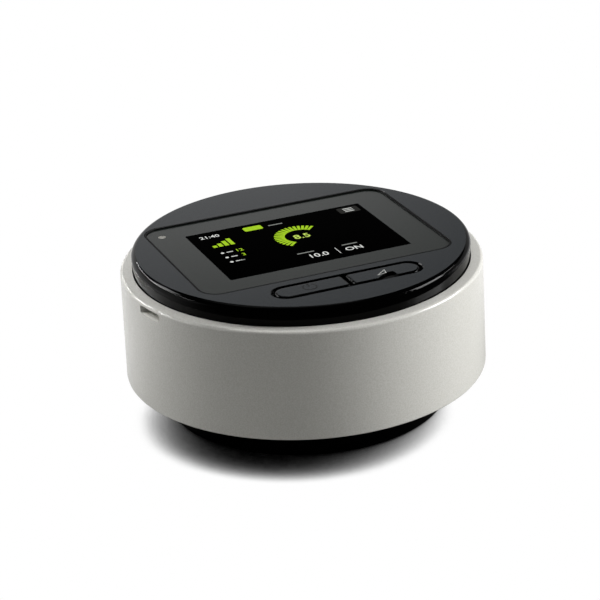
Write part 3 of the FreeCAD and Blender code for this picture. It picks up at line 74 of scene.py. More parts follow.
def start_finish(name):
    """A new material with its tree, its surface shader and the piece's own coordinates."""
    material = bpy.data.materials.new(name)
    material.use_nodes = True
    tree = material.node_tree
    place = add(tree, "ShaderNodeTexCoord").outputs["Object"]
    return material, tree, tree.nodes["Principled BSDF"], place


def finish_node(node, material):
    """Gives a CAD node its material."""
    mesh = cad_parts[node].data
    mesh.materials.clear()
    mesh.materials.append(material)


shell_abs, tree, surface, place = start_finish("white ABS, polished mould")
# The tool's stone marks are a few hundredths of a millimetre; drawn at 0.5 mm to show.
stone = add(tree, "ShaderNodeTexNoise", {"Vector": place, "Scale": 2000.0, "Detail": 2.0})
speck = add(tree, "ShaderNodeMapRange", {"Value": stone.outputs["Fac"], "From Min": 0.35, "From Max": 0.65})
shade = add(tree, "ShaderNodeMix", {0: speck.outputs[0], 6: tint("D4D3CC"), 7: tint("E0DFDA")},
            data_type="RGBA")
tree.links.new(shade.outputs[2], surface.inputs["Base Color"])
shine = add(tree, "ShaderNodeMapRange", {"Value": stone.outputs["Fac"], "To Min": 0.18, "To Max": 0.27})
tree.links.new(shine.outputs[0], surface.inputs["Roughness"])
skin = add(tree, "ShaderNodeBump", {"Height": stone.outputs["Fac"], "Distance": 0.000004, "Strength": 0.6})
tree.links.new(skin.outputs[0], surface.inputs["Normal"])
surface.inputs["IOR"].default_value = 1.53
surface.inputs["Specular IOR Level"].default_value = 0.45
finish_node("outer_shell", shell_abs)


# ---- Black base and its screws ----------------------------------------------------
# The bowl the machine stands on, moulded in black ABS and held to the body from below by
# four pan-head screws. Its eroded grain spreads the light, so the bowl stays nearly black.

base_abs, tree, surface, place = start_finish("black ABS, satin mould")
# Spark-eroded grain of about 0.1 mm, drawn at 0.4 mm so that it shows.
grain = add(tree, "ShaderNodeTexNoise", {"Vector": place, "Scale": 2500.0, "Detail": 3.0})
shade = add(tree, "ShaderNodeMix", {0: grain.outputs["Fac"], 6: tint("010101"), 7: tint("040404")},
            data_type="RGBA")
tree.links.new(shade.outputs[2], surface.inputs["Base Color"])
skin = add(tree, "ShaderNodeBump", {"Height": grain.outputs["Fac"], "Distance": 0.00002, "Strength": 0.6})
tree.links.new(skin.outputs[0], surface.inputs["Normal"])
surface.inputs["Roughness"].default_value = 0.3
surface.inputs["Specular IOR Level"].default_value = 0.1
finish_node("base_housing", base_abs)

# Rolled threads under a thin plate: bright, with a slightly cloudy shine.
zinc_steel, tree, surface, place = start_finish("steel screw, bright zinc plate")
plating = add(tree, "ShaderNodeTexNoise", {"Vector": place, "Scale": 1500.0, "Detail": 4.0})
shade = add(tree, "ShaderNodeMix", {0: plating.outputs["Fac"], 6: tint("A9ACB0"), 7: tint("C6C9CC")},
            data_type="RGBA")
tree.links.new(shade.outputs[2], surface.inputs["Base Color"])
shine = add(tree, "ShaderNodeMapRange", {"Value": plating.outputs["Fac"], "To Min": 0.22, "To Max": 0.4})
tree.links.new(shine.outputs[0], surface.inputs["Roughness"])
surface.inputs["Metallic"].default_value = 1.0
for node in ("case_screws", "chassis_screws", "bracket_screws", "board_screws", "button_board_screws",
             "power_board_screws"):
    finish_node(node, zinc_steel)


# ---- Rubber pad -------------------------------------------------------------------
# A moulded silicone-rubber disc, glued into a recess under the base, with rings of low
# studs that grip the table. Its talc bloom makes it matt with a faint pale sheen.

rubber, tree, surface, place = start_finish("silicone rubber, dusty black")
dust = add(tree, "ShaderNodeTexNoise", {"Vector": place, "Scale": 900.0, "Detail": 5.0})
shade = add(tree, "ShaderNodeMix", {0: dust.outputs["Fac"], 6: tint("1B1B1C"), 7: tint("2B2B2C")},
            data_type="RGBA")
tree.links.new(shade.outputs[2], surface.inputs["Base Color"])
skin = add(tree, "ShaderNodeBump", {"Height": dust.outputs["Fac"], "Distance": 0.00003, "Strength": 0.5})
tree.links.new(skin.outputs[0], surface.inputs["Normal"])
surface.inputs["Roughness"].default_value = 0.78
surface.inputs["Specular IOR Level"].default_value = 0.3
surface.inputs["Sheen Weight"].default_value = 0.15


def lathe(name, profile, material, steps=160, centre=(0.0, 0.0)):
    """Closed solid turned about an upright axis from a (radius, height) profile."""
    shape = bmesh.new()
    ring = [shape.verts.new((r, 0.0, z)) for r, z in profile]
    edges = [shape.edges.new((a, b)) for a, b in zip(ring, ring[1:])]
    bmesh.ops.spin(shape, geom=ring + edges, cent=(0, 0, 0), axis=(0, 0, 1), angle=2 * math.pi,
                   steps=steps, use_duplicate=False)
    bmesh.ops.remove_doubles(shape, verts=shape.verts, dist=1e-7)
    bmesh.ops.recalc_face_normals(shape, faces=shape.faces)
    bmesh.ops.translate(shape, verts=shape.verts, vec=(centre[0], centre[1], 0.0))
    mesh = bpy.data.meshes.new(name)
    shape.to_mesh(mesh)
    shape.free()
    mesh.materials.append(material)
    piece = bpy.data.objects.new(name, mesh)
    bpy.context.scene.collection.objects.link(piece)
    return piece


def start_pattern(name, **sizes):
    """A Geometry Nodes tree with named inputs; returns the tree and its group input node."""
    pattern = bpy.data.node_groups.new(name, "GeometryNodeTree")
    pattern.interface.new_socket("Geometry", in_out="OUTPUT", socket_type="NodeSocketGeometry")
    for label, value in sizes.items():
        kind = "NodeSocketInt" if isinstance(value, int) else "NodeSocketFloat"
        socket = pattern.interface.new_socket(label.replace("_", " "), in_out="INPUT", socket_type=kind)
        socket.default_value = value
    return pattern, pattern.nodes.new("NodeGroupInput")


def end_pattern(pattern, geometry, material):
    """Closes a tree: real copies, their material, and the output."""
    real = add(pattern, "GeometryNodeRealizeInstances", {"Geometry": geometry})
    dressed = add(pattern, "GeometryNodeSetMaterial", {"Geometry": real.outputs[0], "Material": material})
    add(pattern, "NodeGroupOutput", {"Geometry": dressed.outputs[0]})


def grow(name, pattern, material, **sizes):
    """Runs a tree with these sizes and returns its result as a plain mesh object."""
    seed = bpy.data.objects.new(name + "_seed", bpy.data.meshes.new(name + "_seed"))
    bpy.context.scene.collection.objects.link(seed)
    modifier = seed.modifiers.new("pattern", "NODES")
    modifier.node_group = pattern
    for item in pattern.interface.items_tree:
        label = item.name.replace(" ", "_")
        if item.in_out == "INPUT" and label in sizes:
            modifier[item.identifier] = sizes[label]
    bpy.context.view_layer.update()
    evaluated = seed.evaluated_get(bpy.context.evaluated_depsgraph_get())
    mesh = bpy.data.meshes.new_from_object(evaluated)
    mesh.name = name
    if not mesh.materials:
        mesh.materials.append(material)
    piece = bpy.data.objects.new(name, mesh)
    bpy.context.scene.collection.objects.link(piece)
    bpy.data.objects.remove(seed)
    return piece


low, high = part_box("base_pad")
pad_r = high.x
stud_h = 0.0004
bevel = 0.0003
rib_w = 0.003
outer_rib = pad_r - 0.0035
inner_rib = 0.016
pad_profile = [(0.0, high.z), (pad_r, high.z), (pad_r, stud_h + bevel), (pad_r - bevel, stud_h),
               (outer_rib, stud_h), (outer_rib - bevel, 0.0), (outer_rib - rib_w + bevel, 0.0),
               (outer_rib - rib_w, stud_h), (inner_rib, stud_h), (inner_rib - bevel, 0.0),
               (inner_rib - rib_w + bevel, 0.0), (inner_rib - rib_w, stud_h), (0.0, stud_h)]
pad = lathe("rubber_pad", pad_profile, rubber)
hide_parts("base_pad")
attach(pad, "casing")

studs, sizes = start_pattern("rings of grip studs", Rings=3, Studs_in_ring=48, First_radius=0.019,
                             Ring_pitch=0.007, Stud_radius=0.0011, Stud_height=0.0004)
rows = add(studs, "GeometryNodeMeshLine", {"Count": sizes.outputs["Rings"], "Offset": (0, 0, 0)})
row_number = add(studs, "GeometryNodeInputIndex").outputs[0]
step = add(studs, "ShaderNodeMath", {0: row_number, 1: sizes.outputs["Ring pitch"]},
           operation="MULTIPLY")
ring_r = add(studs, "ShaderNodeMath", {0: step.outputs[0], 1: sizes.outputs["First radius"]},
             operation="ADD")
circle = add(studs, "GeometryNodeMeshCircle", {"Vertices": sizes.outputs["Studs in ring"], "Radius": 1.0})
spread = add(studs, "ShaderNodeCombineXYZ", {"X": ring_r.outputs[0], "Y": ring_r.outputs[0], "Z": 1.0})
rings = add(studs, "GeometryNodeInstanceOnPoints", {"Points": rows.outputs["Mesh"],
            "Instance": circle.outputs["Mesh"], "Scale": spread.outputs[0]})
ring_points = add(studs, "GeometryNodeRealizeInstances", {"Geometry": rings.outputs[0]})
tip_r = add(studs, "ShaderNodeMath", {0: sizes.outputs["Stud radius"], 1: 0.75}, operation="MULTIPLY")
stud = add(studs, "GeometryNodeMeshCone", {"Vertices": 12, "Side Segments": 1,
           "Radius Top": sizes.outputs["Stud radius"], "Radius Bottom": tip_r.outputs[0],
           "Depth": sizes.outputs["Stud height"]})
placed = add(studs, "GeometryNodeInstanceOnPoints", {"Points": ring_points.outputs[0],
             "Instance": stud.outputs["Mesh"]})
end_pattern(studs, placed.outputs[0], rubber)
pad_studs = grow("pad_grip_studs", studs, rubber, Stud_height=stud_h)
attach(pad_studs, "casing")


# ---- Black lid --------------------------------------------------------------------
# One ABS moulding: the flat face has a fine satin grain in dark grey, the rounded edge
# and the wall are polished black. The keys are moulded with the same two finishes.

low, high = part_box("top_cover")
face_z = high.z
polished_abs, tree, surface, place = start_finish("black ABS, polished mould")
# Handling leaves a faint haze on the mirror finish.
haze = add(tree, "ShaderNodeTexNoise", {"Vector": place, "Scale": 400.0, "Detail": 4.0})
shade = add(tree, "ShaderNodeMix", {0: haze.outputs["Fac"], 6: tint("010101"), 7: tint("020202")},
            data_type="RGBA")
tree.links.new(shade.outputs[2], surface.inputs["Base Color"])
shine = add(tree, "ShaderNodeMapRange", {"Value": haze.outputs["Fac"], "To Min": 0.05, "To Max": 0.08})
tree.links.new(shine.outputs[0], surface.inputs["Roughness"])
surface.inputs["Specular IOR Level"].default_value = 0.06

satin_abs, tree, surface, place = start_finish("black ABS, satin grain")
# Texture of about 0.15 mm, drawn at 0.35 mm so that it shows.
grain = add(tree, "ShaderNodeTexNoise", {"Vector": place, "Scale": 2900.0, "Detail": 3.0,
            "Roughness": 0.6})
shade = add(tree, "ShaderNodeMix", {0: grain.outputs["Fac"], 6: tint("14181A"), 7: tint("22262A")},
            data_type="RGBA")
tree.links.new(shade.outputs[2], surface.inputs["Base Color"])
shine = add(tree, "ShaderNodeMapRange", {"Value": grain.outputs["Fac"], "To Min": 0.21, "To Max": 0.25})
tree.links.new(shine.outputs[0], surface.inputs["Roughness"])
skin = add(tree, "ShaderNodeBump", {"Height": grain.outputs["Fac"], "Strength": 0.3, "Distance": 0.00002})
tree.links.new(skin.outputs[0], surface.inputs["Normal"])
surface.inputs["Specular IOR Level"].default_value = 0.2


def finish_top(node, edge, face):
    """Gives a CAD node one material, and its level upper face another."""
    finish_node(node, edge)
    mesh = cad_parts[node].data
    mesh.materials.append(face)
    top_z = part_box(node)[1].z
    nearly_level, nearly_top = 0.999, 0.00001
    for polygon in mesh.polygons:
        if polygon.normal.z > nearly_level and polygon.center.z > top_z - nearly_top:
            polygon.material_index = 1


finish_top("top_cover", polished_abs, satin_abs)


# ---- Display panel and light sensor ------------------------------------------------
# A satin frame let into the lid round the screen, a shade greener and smoother than the
# lid. The sensor in its corner is a small dished lens of smoked polycarbonate.

panel_pc, tree, surface, place = start_finish("dark grey polycarbonate panel, satin")
# Fine erosion of 0.1 mm, drawn at 0.3 mm so that it shows.
grain = add(tree, "ShaderNodeTexNoise", {"Vector": place, "Scale": 3200.0, "Detail": 2.0})
shade = add(tree, "ShaderNodeMix", {0: grain.outputs["Fac"], 6: tint("121614"), 7: tint("1A1F1C")},
            data_type="RGBA")
tree.links.new(shade.outputs[2], surface.inputs["Base Color"])
skin = add(tree, "ShaderNodeBump", {"Height": grain.outputs["Fac"], "Distance": 0.00001, "Strength": 0.3})
tree.links.new(skin.outputs[0], surface.inputs["Normal"])
surface.inputs["Roughness"].default_value = 0.2
surface.inputs["Specular IOR Level"].default_value = 0.28
finish_node("display_panel", panel_pc)

# The smoke tint is cloudy and the dish is frosted, so it reads as a grey spot.
smoked, tree, surface, place = start_finish("smoked polycarbonate lens")
cloud = add(tree, "ShaderNodeTexNoise", {"Vector": place, "Scale": 1200.0, "Detail": 2.0})
shade = add(tree, "ShaderNodeMix", {0: cloud.outputs["Fac"], 6: tint("86847E"), 7: tint("989690")},
            data_type="RGBA")
tree.links.new(shade.outputs[2], surface.inputs["Base Color"])
surface.inputs["Roughness"].default_value = 0.45
surface.inputs["Specular IOR Level"].default_value = 0.2
finish_node("light_sensor_lens", smoked)


# ---- Screen -----------------------------------------------------------------------
# A bonded glass cover with an anti-reflection coat over a colour liquid-crystal cell: the
# coat takes nearly all gloss away, so it is plain black where no picture shows through.

screen_glass, tree, surface, place = start_finish("cover glass, anti-reflection coat, unlit black")
wipe = add(tree, "ShaderNodeTexNoise", {"Vector": place, "Scale": 60.0, "Detail": 4.0})
shine = add(tree, "ShaderNodeMapRange", {"Value": wipe.outputs["Fac"], "To Min": 0.04, "To Max": 0.09})
tree.links.new(shine.outputs[0], surface.inputs["Roughness"])
surface.inputs["Base Color"].default_value = tint("000000")
surface.inputs["Specular IOR Level"].default_value = 0.0005
finish_node("display_window", screen_glass)


def lit(name, code, strength):
    """Light of one colour from the cell, with its pixel grid (0.15 mm, drawn at 0.3 mm to show)."""
    material, tree, surface, place = start_finish(name)
    pitch_mm, wave_units = 0.3, 20
    fineness = 1000 / (pitch_mm * wave_units)
    across = add(tree, "ShaderNodeTexWave", {"Vector": place, "Scale": fineness}, bands_direction="X")
    along = add(tree, "ShaderNodeTexWave", {"Vector": place, "Scale": fineness}, bands_direction="Y")
    grid = add(tree, "ShaderNodeMath", {0: across.outputs["Fac"], 1: along.outputs["Fac"]},
               operation="MULTIPLY")
    level = add(tree, "ShaderNodeMapRange", {"Value": grid.outputs[0], "To Min": 0.88 * strength,
                "To Max": 1.04 * strength})
    tree.links.new(level.outputs[0], surface.inputs["Emission Strength"])
    surface.inputs["Emission Color"].default_value = tint(code)
    surface.inputs["Base Color"].default_value = tint("000000")
    surface.inputs["Roughness"].default_value = 0.06
    surface.inputs["Specular IOR Level"].default_value = 0.0005
    return material


lit_lime = lit("lit cell, lime", "A9D42C", 1.0)
lit_pale = lit("lit cell, pale lime", "CDE96A", 1.0)
lit_white = lit("lit cell, white", "E6E8E4", 0.95)
lit_mid = lit("lit cell, mid grey", "8C8F8A", 1.0)
lit_grey = lit("lit cell, dark grey", "2C2C2A", 1.0)


def prism(shape, points, low_z, high_z):
    """Adds an upright prism on a counter-clockwise outline."""
    floor = [shape.verts.new((x, y, low_z)) for x, y in points]
    roof = [shape.verts.new((x, y, high_z)) for x, y in points]
    shape.faces.new(list(reversed(floor)))
    shape.faces.new(roof)
    for i in range(len(points)):
        j = (i + 1) % len(points)
        shape.faces.new((floor[i], floor[j], roof[j], roof[i]))


def stroke(shape, points, width, low_z, high_z, closed=False):
    """Adds a line of even width through the points, with mitred corners."""
    count = len(points)
    sharpest_mitre = 0.3
    left, right = [], []
    for i, here in enumerate(points):
        here = Vector(here)
        ways = []
        if closed or i > 0:
            ways.append((here - Vector(points[i - 1])).normalized())
        if closed or i < count - 1:
            ways.append((Vector(points[(i + 1) % count]) - here).normalized())
        way = sum(ways, Vector((0, 0))).normalized()
        side = Vector((-way.y, way.x))
        reach = width / 2 / max(sharpest_mitre, way.dot(ways[0]))
        left.append(here + side * reach)
        right.append(here - side * reach)
    for i in range(count if closed else count - 1):
        j = (i + 1) % count
        prism(shape, [right[i], right[j], left[j], left[i]], low_z, high_z)


def arc(x, y, radius, start, end, steps=40):
    """Points on an arc, angles in degrees from +X."""
    turns = [math.radians(start + (end - start) * i / steps) for i in range(steps + 1)]
    return [(x + radius * math.cos(t), y + radius * math.sin(t)) for t in turns]


def tab(x, y, width, height, radius):
    """Outline of a round-cornered plate."""
    outline = []
    for sx, sy, start in ((1, -1, -90), (1, 1, 0), (-1, 1, 90), (-1, -1, 180)):
        outline += arc(x + sx * (width / 2 - radius), y + sy * (height / 2 - radius), radius,
                       start, start + 90, 6)
    return outline


def figures(shape, words, x, y, height, low_z, high_z):
    """Adds upright figures, centred on x, standing on y."""
    type_size, boldness = 1.38, 0.012
    curve = bpy.data.curves.new("figures", "FONT")
    curve.body = words
    curve.size = height * type_size
    curve.align_x = "CENTER"
    curve.resolution_u = 3
    curve.offset = height * boldness
    curve.extrude = (high_z - low_z) / 2
    holder = bpy.data.objects.new("figures", curve)
    bpy.context.scene.collection.objects.link(holder)
    bpy.context.view_layer.update()
    mesh = bpy.data.meshes.new_from_object(holder.evaluated_get(bpy.context.evaluated_depsgraph_get()))
    mesh.transform(Matrix.Translation((x, y, (low_z + high_z) / 2)))
    shape.from_mesh(mesh)
    bpy.data.objects.remove(holder)
    bpy.data.meshes.remove(mesh)


def finish_shape(name, shape, material, body):
    """Turns built geometry into a piece that rides on a body."""
    bmesh.ops.remove_doubles(shape, verts=shape.verts, dist=1e-7)
    mesh = bpy.data.meshes.new(name)
    shape.to_mesh(mesh)
    shape.free()
    mesh.materials.append(material)
    piece = bpy.data.objects.new(name, mesh)
    bpy.context.scene.collection.objects.link(piece)
    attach(piece, body)
    return piece


low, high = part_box("display_window")
screen_x = (low.x + high.x) / 2
screen_y = (low.y + high.y) / 2
lit_low = high.z + 0.000005
lit_high = high.z + 0.00004

# Painted shade: a black strip in the seam round the panel, level with the lid, standing in for the dark of
# the gap between panel and lid.
seam_shade_black, tree, surface, place = start_finish("black strip, painted seam shade")
seam_speck = add(tree, "ShaderNodeTexNoise", {"Vector": place, "Scale": 900.0, "Detail": 3.0})
shade = add(tree, "ShaderNodeMix", {0: seam_speck.outputs["Fac"], 6: tint("020202"), 7: tint("080808")},
            data_type="RGBA")
tree.links.new(shade.outputs[2], surface.inputs["Base Color"])
surface.inputs["Roughness"].default_value = 0.5
surface.inputs["Specular IOR Level"].default_value = 0.1
panel_low, panel_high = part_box("display_panel")
overlap = 0.00005
seam_shade_width = 0.00066
corner_r = 0.00745
seam_shade = bmesh.new()
stroke(seam_shade, tab((panel_low.x + panel_high.x) / 2, (panel_low.y + panel_high.y) / 2,
                 panel_high.x - panel_low.x - 2 * overlap, panel_high.y - panel_low.y - 2 * overlap,
                 corner_r), seam_shade_width, panel_high.z + 0.00001, face_z - 0.00002, closed=True)
finish_shape("panel_seam_bead", seam_shade, seam_shade_black, "casing")

# Round gauge: an arc of bars that lights up to the running pressure.
gauge, sizes = start_pattern("gauge bars round an arc", Bars=25, Radius=0.0088, Start=-0.5, Sweep=4.2,
                             Bar_length=0.0042, Bar_width=0.0011, Bar_height=0.00004, Centre_x=0.0,
                             Centre_y=0.0, Centre_z=0.0)
track = add(gauge, "GeometryNodeCurveArc", {"Resolution": 64, "Radius": sizes.outputs["Radius"],
            "Start Angle": sizes.outputs["Start"], "Sweep Angle": sizes.outputs["Sweep"]})
stops = add(gauge, "GeometryNodeCurveToPoints", {"Curve": track.outputs[0],
            "Count": sizes.outputs["Bars"]})
outward = add(gauge, "GeometryNodeInputPosition")
aim = add(gauge, "FunctionNodeAlignRotationToVector", {"Vector": outward.outputs[0]}, axis="X",
          pivot_axis="Z")
bar_size = add(gauge, "ShaderNodeCombineXYZ", {"X": sizes.outputs["Bar length"],
               "Y": sizes.outputs["Bar width"], "Z": sizes.outputs["Bar height"]})
bar = add(gauge, "GeometryNodeMeshCube", {"Size": bar_size.outputs[0]})
bars = add(gauge, "GeometryNodeInstanceOnPoints", {"Points": stops.outputs[0],
           "Instance": bar.outputs["Mesh"], "Rotation": aim.outputs[0]})
centre = add(gauge, "ShaderNodeCombineXYZ", {"X": sizes.outputs["Centre x"],
             "Y": sizes.outputs["Centre y"], "Z": sizes.outputs["Centre z"]})
shifted = add(gauge, "GeometryNodeTransform", {"Geometry": bars.outputs[0],
              "Translation": centre.outputs[0]})
end_pattern(gauge, shifted.outputs[0], lit_lime)
gauge_x = screen_x + 0.0035
gauge_y = screen_y + 0.0035
gauge_lit = grow("screen_gauge_bars", gauge, lit_lime, Bars=19, Start=math.radians(45),
                 Sweep=math.radians(180), Centre_x=gauge_x, Centre_y=gauge_y,
                 Centre_z=(lit_low + lit_high) / 2, Bar_height=lit_high - lit_low)
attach(gauge_lit, "casing")

# A tab, four rising signal bars and two readings, all measured from the screen's middle.
lime = bmesh.new()
prism(lime, tab(screen_x - 0.0105, screen_y + 0.0205, 0.0078, 0.0042, 0.0009), lit_low, lit_high)
bars_x, bars_y = screen_x - 0.0315, screen_y + 0.0085
bars_pitch, bar_w, tallest = 0.0024, 0.0017, 0.0068
for i, share in enumerate((0.3, 0.5, 0.75, 1.0)):
    bar_x = bars_x + bars_pitch * i
    bar_top = bars_y + tallest * share
    prism(lime, [(bar_x, bars_y), (bar_x + bar_w, bars_y), (bar_x + bar_w, bar_top), (bar_x, bar_top)],
          lit_low, lit_high)
readings_x, readings_h = screen_x - 0.0235, 0.0024
figures(lime, "12", readings_x, screen_y + 0.0008, readings_h, lit_low, lit_high)
figures(lime, "3", readings_x, screen_y - 0.0042, readings_h, lit_low, lit_high)
finish_shape("screen_lime_marks", lime, lit_lime, "casing")

pale = bmesh.new()
gauge_figure_h = 0.0042
figures(pale, "8.5", gauge_x, gauge_y - 0.0022, gauge_figure_h, lit_low, lit_high)
finish_shape("screen_pale_marks", pale, lit_pale, "casing")

# The clock, the set pressure and the comfort switch with a rule between them, and three
# list lines, each a dot and a dash.
white = bmesh.new()
foot_y, rule_x = screen_y - 0.0195, screen_x + 0.0098
figures(white, "21:40", screen_x - 0.0290, screen_y + 0.0190, 0.0027, lit_low, lit_high)
figures(white, "10.0", screen_x + 0.0015, foot_y, 0.0036, lit_low, lit_high)
figures(white, "ON", screen_x + 0.0165, foot_y, 0.0034, lit_low, lit_high)
stroke(white, [(rule_x, screen_y - 0.0205), (rule_x, screen_y - 0.0145)], 0.00025, lit_low, lit_high)
line_pitch, dot_r, dash_w = 0.005, 0.0007, 0.0006
for i in range(3):
    dot_y = screen_y + 0.0018 - line_pitch * i
    prism(white, arc(screen_x - 0.0305, dot_y, dot_r, 0, 345, 23), lit_low, lit_high)
    stroke(white, [(screen_x - 0.0288, dot_y), (screen_x - 0.0262, dot_y)], dash_w, lit_low, lit_high)
finish_shape("screen_white_marks", white, lit_white, "casing")

# Plain bars stand where labels would be: middle (x, y) and length.
labels = bmesh.new()
label_h = 0.0007
for label_x, label_y, label_w in ((-0.0020, -0.0134, 0.0070), (0.0165, -0.0134, 0.0064),
                                  (-0.0010, 0.0200, 0.0060), (-0.0262, -0.0083, 0.0022)):
    stroke(labels, [(screen_x + label_x - label_w / 2, screen_y + label_y),
                    (screen_x + label_x + label_w / 2, screen_y + label_y)], label_h, lit_low, lit_high)
finish_shape("screen_label_bars", labels, lit_mid, "casing")

menu_x, menu_y = screen_x + 0.0312, screen_y + 0.0205
grey = bmesh.new()
prism(grey, tab(menu_x, menu_y, 0.0088, 0.0058, 0.0008), lit_low, lit_high)
finish_shape("screen_grey_tab", grey, lit_grey, "casing")
rows = bmesh.new()
row_pitch, row_w, row_half = 0.0015, 0.00055, 0.002
for i in (-1, 0, 1):
    row_y = menu_y + row_pitch * i
    stroke(rows, [(menu_x - row_half, row_y), (menu_x + row_half, row_y)], row_w,
           lit_high - 0.000004, lit_high + 0.000008)
finish_shape("screen_menu_rows", rows, lit_white, "casing")


# ---- Buttons ----------------------------------------------------------------------
# Two keys moulded in the lid's ABS: satin faces, polished black edges that turn down
# into the gap. The marks are pad-printed: power in black, ramp in silver.

finish_top("power_button", polished_abs, satin_abs)
finish_top("ramp_button", polished_abs, satin_abs)

# Darker than the satin face round it, so it shows as a quiet mark.
dark_ink, tree, surface, place = start_finish("pad-printing ink, gloss black")
film = add(tree, "ShaderNodeTexNoise", {"Vector": place, "Scale": 4000.0, "Detail": 2.0})
shade = add(tree, "ShaderNodeMix", {0: film.outputs["Fac"], 6: tint("030303"), 7: tint("070707")},
            data_type="RGBA")
tree.links.new(shade.outputs[2], surface.inputs["Base Color"])
surface.inputs["Roughness"].default_value = 0.5
surface.inputs["Specular IOR Level"].default_value = 0.2

# Metal flakes in a clear binder: bright from most sides, without a mirror's shine.
silver_ink, tree, surface, place = start_finish("pad-printing ink, silver")
flake = add(tree, "ShaderNodeTexNoise", {"Vector": place, "Scale": 5000.0, "Detail": 2.0})
shade = add(tree, "ShaderNodeMix", {0: flake.outputs["Fac"], 6: tint("A5A6A3"), 7: tint("C4C5C1")},
            data_type="RGBA")
tree.links.new(shade.outputs[2], surface.inputs["Base Color"])
surface.inputs["Roughness"].default_value = 0.45
surface.inputs["Metallic"].default_value = 0.3

key_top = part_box("power_button")[1].z
ink_low = key_top + 0.000002
ink_high = key_top + 0.000012
power_x, power_y = -0.0150, -0.0444
power_r, power_line = 0.0026, 0.0005
power = bmesh.new()
stroke(power, arc(power_x, power_y, power_r, 125, 415), power_line, ink_low, ink_high)
stroke(power, [(power_x, power_y + 0.0004), (power_x, power_y + 0.0033)], power_line, ink_low, ink_high)
finish_shape("power_mark", power, dark_ink, "power_button")
ramp_line = 0.00038
ramp = bmesh.new()
stroke(ramp, [(0.0119, -0.0464), (0.0155, -0.0458), (0.0160, -0.0430)], ramp_line, ink_low, ink_high,
       closed=True)
finish_shape("ramp_mark", ramp, silver_ink, "ramp_button")


# ---- Air outlet -------------------------------------------------------------------
# The tapered seat for the breathing hose, moulded in pale grey polypropylene, and the
# soft parts behind it: a silicone gasket at the wall and a silicone bellows.

port_pp, tree, surface, place = start_finish("grey polypropylene, fine matt")
grain = add(tree, "ShaderNodeTexNoise", {"Vector": place, "Scale": 1800.0, "Detail": 3.0})
shade = add(tree, "ShaderNodeMix", {0: grain.outputs["Fac"], 6: tint("B9B9B4"), 7: tint("C6C6C1")},
            data_type="RGBA")
tree.links.new(shade.outputs[2], surface.inputs["Base Color"])
skin = add(tree, "ShaderNodeBump", {"Height": grain.outputs["Fac"], "Distance": 0.00001, "Strength": 0.4})
tree.links.new(skin.outputs[0], surface.inputs["Normal"])
surface.inputs["Roughness"].default_value = 0.4
surface.inputs["IOR"].default_value = 1.49
finish_node("outlet_port", port_pp)

# Light enters a little way, so thin edges glow softly; the surface blooms to matt.
silicone, tree, surface, place = start_finish("silicone, translucent grey")
bloom = add(tree, "ShaderNodeTexNoise", {"Vector": place, "Scale": 700.0, "Detail": 3.0})
shade = add(tree, "ShaderNodeMix", {0: bloom.outputs["Fac"], 6: tint("9A9C9C"), 7: tint("AEB0AF")},
            data_type="RGBA")
tree.links.new(shade.outputs[2], surface.inputs["Base Color"])
surface.inputs["Roughness"].default_value = 0.5
surface.inputs["IOR"].default_value = 1.41
surface.inputs["Subsurface Weight"].default_value = 0.15
surface.inputs["Subsurface Radius"].default_value = (0.001, 0.001, 0.001)
for node in ("outlet_gasket", "outlet_coupling", "blower_mounts"):
    finish_node(node, silicone)


# ---- Return domes ------------------------------------------------------------------
# Two hollow silicone cones on the button board, built in their rest shape. In use each holds its key
# up and flattens under it by the key's travel; a flange seats the cone and its crown meets the key's stem.

dome_skin = 0.0008
crown_r = 0.0026
flange = 0.0004
rounding = 0.0003
for key in ("power", "ramp"):
    low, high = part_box(key + "_dome")
    middle = (low + high) / 2
    foot_r = (high.x - low.x) / 2
    bore_r = foot_r - dome_skin - flange
    dome_profile = [(0.0, high.z - dome_skin), (crown_r - dome_skin, high.z - dome_skin),
                    (bore_r, low.z + flange), (bore_r, low.z), (foot_r, low.z), (foot_r, low.z + flange),
                    (foot_r - 0.0005, low.z + 0.0006), (crown_r + 0.0001, high.z - rounding),
                    (crown_r - rounding, high.z), (0.0, high.z)]
    dome = lathe(key + "_return_dome", dome_profile, silicone, 48, (middle.x, middle.y))
    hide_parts(key + "_dome")
    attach(dome, "casing")
    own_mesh(dome)


# ---- Filter and its cover ---------------------------------------------------------
# The cover is a curved grille in the body's ABS that pulls out of the wall. The pad
# behind it is bonded polyester, loose strands that look soft and have no shine.

finish_node("filter_cover", shell_abs)

fibre, tree, surface, place = start_finish("bonded polyester fibre, white")
strand = add(tree, "ShaderNodeTexNoise", {"Vector": place, "Scale": 1600.0, "Detail": 6.0,
             "Roughness": 0.75, "Distortion": 1.5})
shade = add(tree, "ShaderNodeMix", {0: strand.outputs["Fac"], 6: tint("B8B8B2"), 7: tint("EFEFEA")},
            data_type="RGBA")
tree.links.new(shade.outputs[2], surface.inputs["Base Color"])
skin = add(tree, "ShaderNodeBump", {"Height": strand.outputs["Fac"], "Distance": 0.0002, "Strength": 0.8})
tree.links.new(skin.outputs[0], surface.inputs["Normal"])
surface.inputs["Roughness"].default_value = 0.95
finish_node("air_filter", fibre)


# ---- Power inlet ------------------------------------------------------------------
# A coaxial low-voltage socket: a black nylon bushing flush with the wall, matt from its
# fine grain, and a plated brass centre pin, which gives one warm bright spot.

nylon, tree, surface, place = start_finish("black nylon, matt")
grain = add(tree, "ShaderNodeTexNoise", {"Vector": place, "Scale": 2200.0, "Detail": 3.0})
shade = add(tree, "ShaderNodeMix", {0: grain.outputs["Fac"], 6: tint("101011"), 7: tint("1B1B1C")},
            data_type="RGBA")
tree.links.new(shade.outputs[2], surface.inputs["Base Color"])
surface.inputs["Roughness"].default_value = 0.5
for node in ("dc_inlet", "buzzer"):
    finish_node(node, nylon)

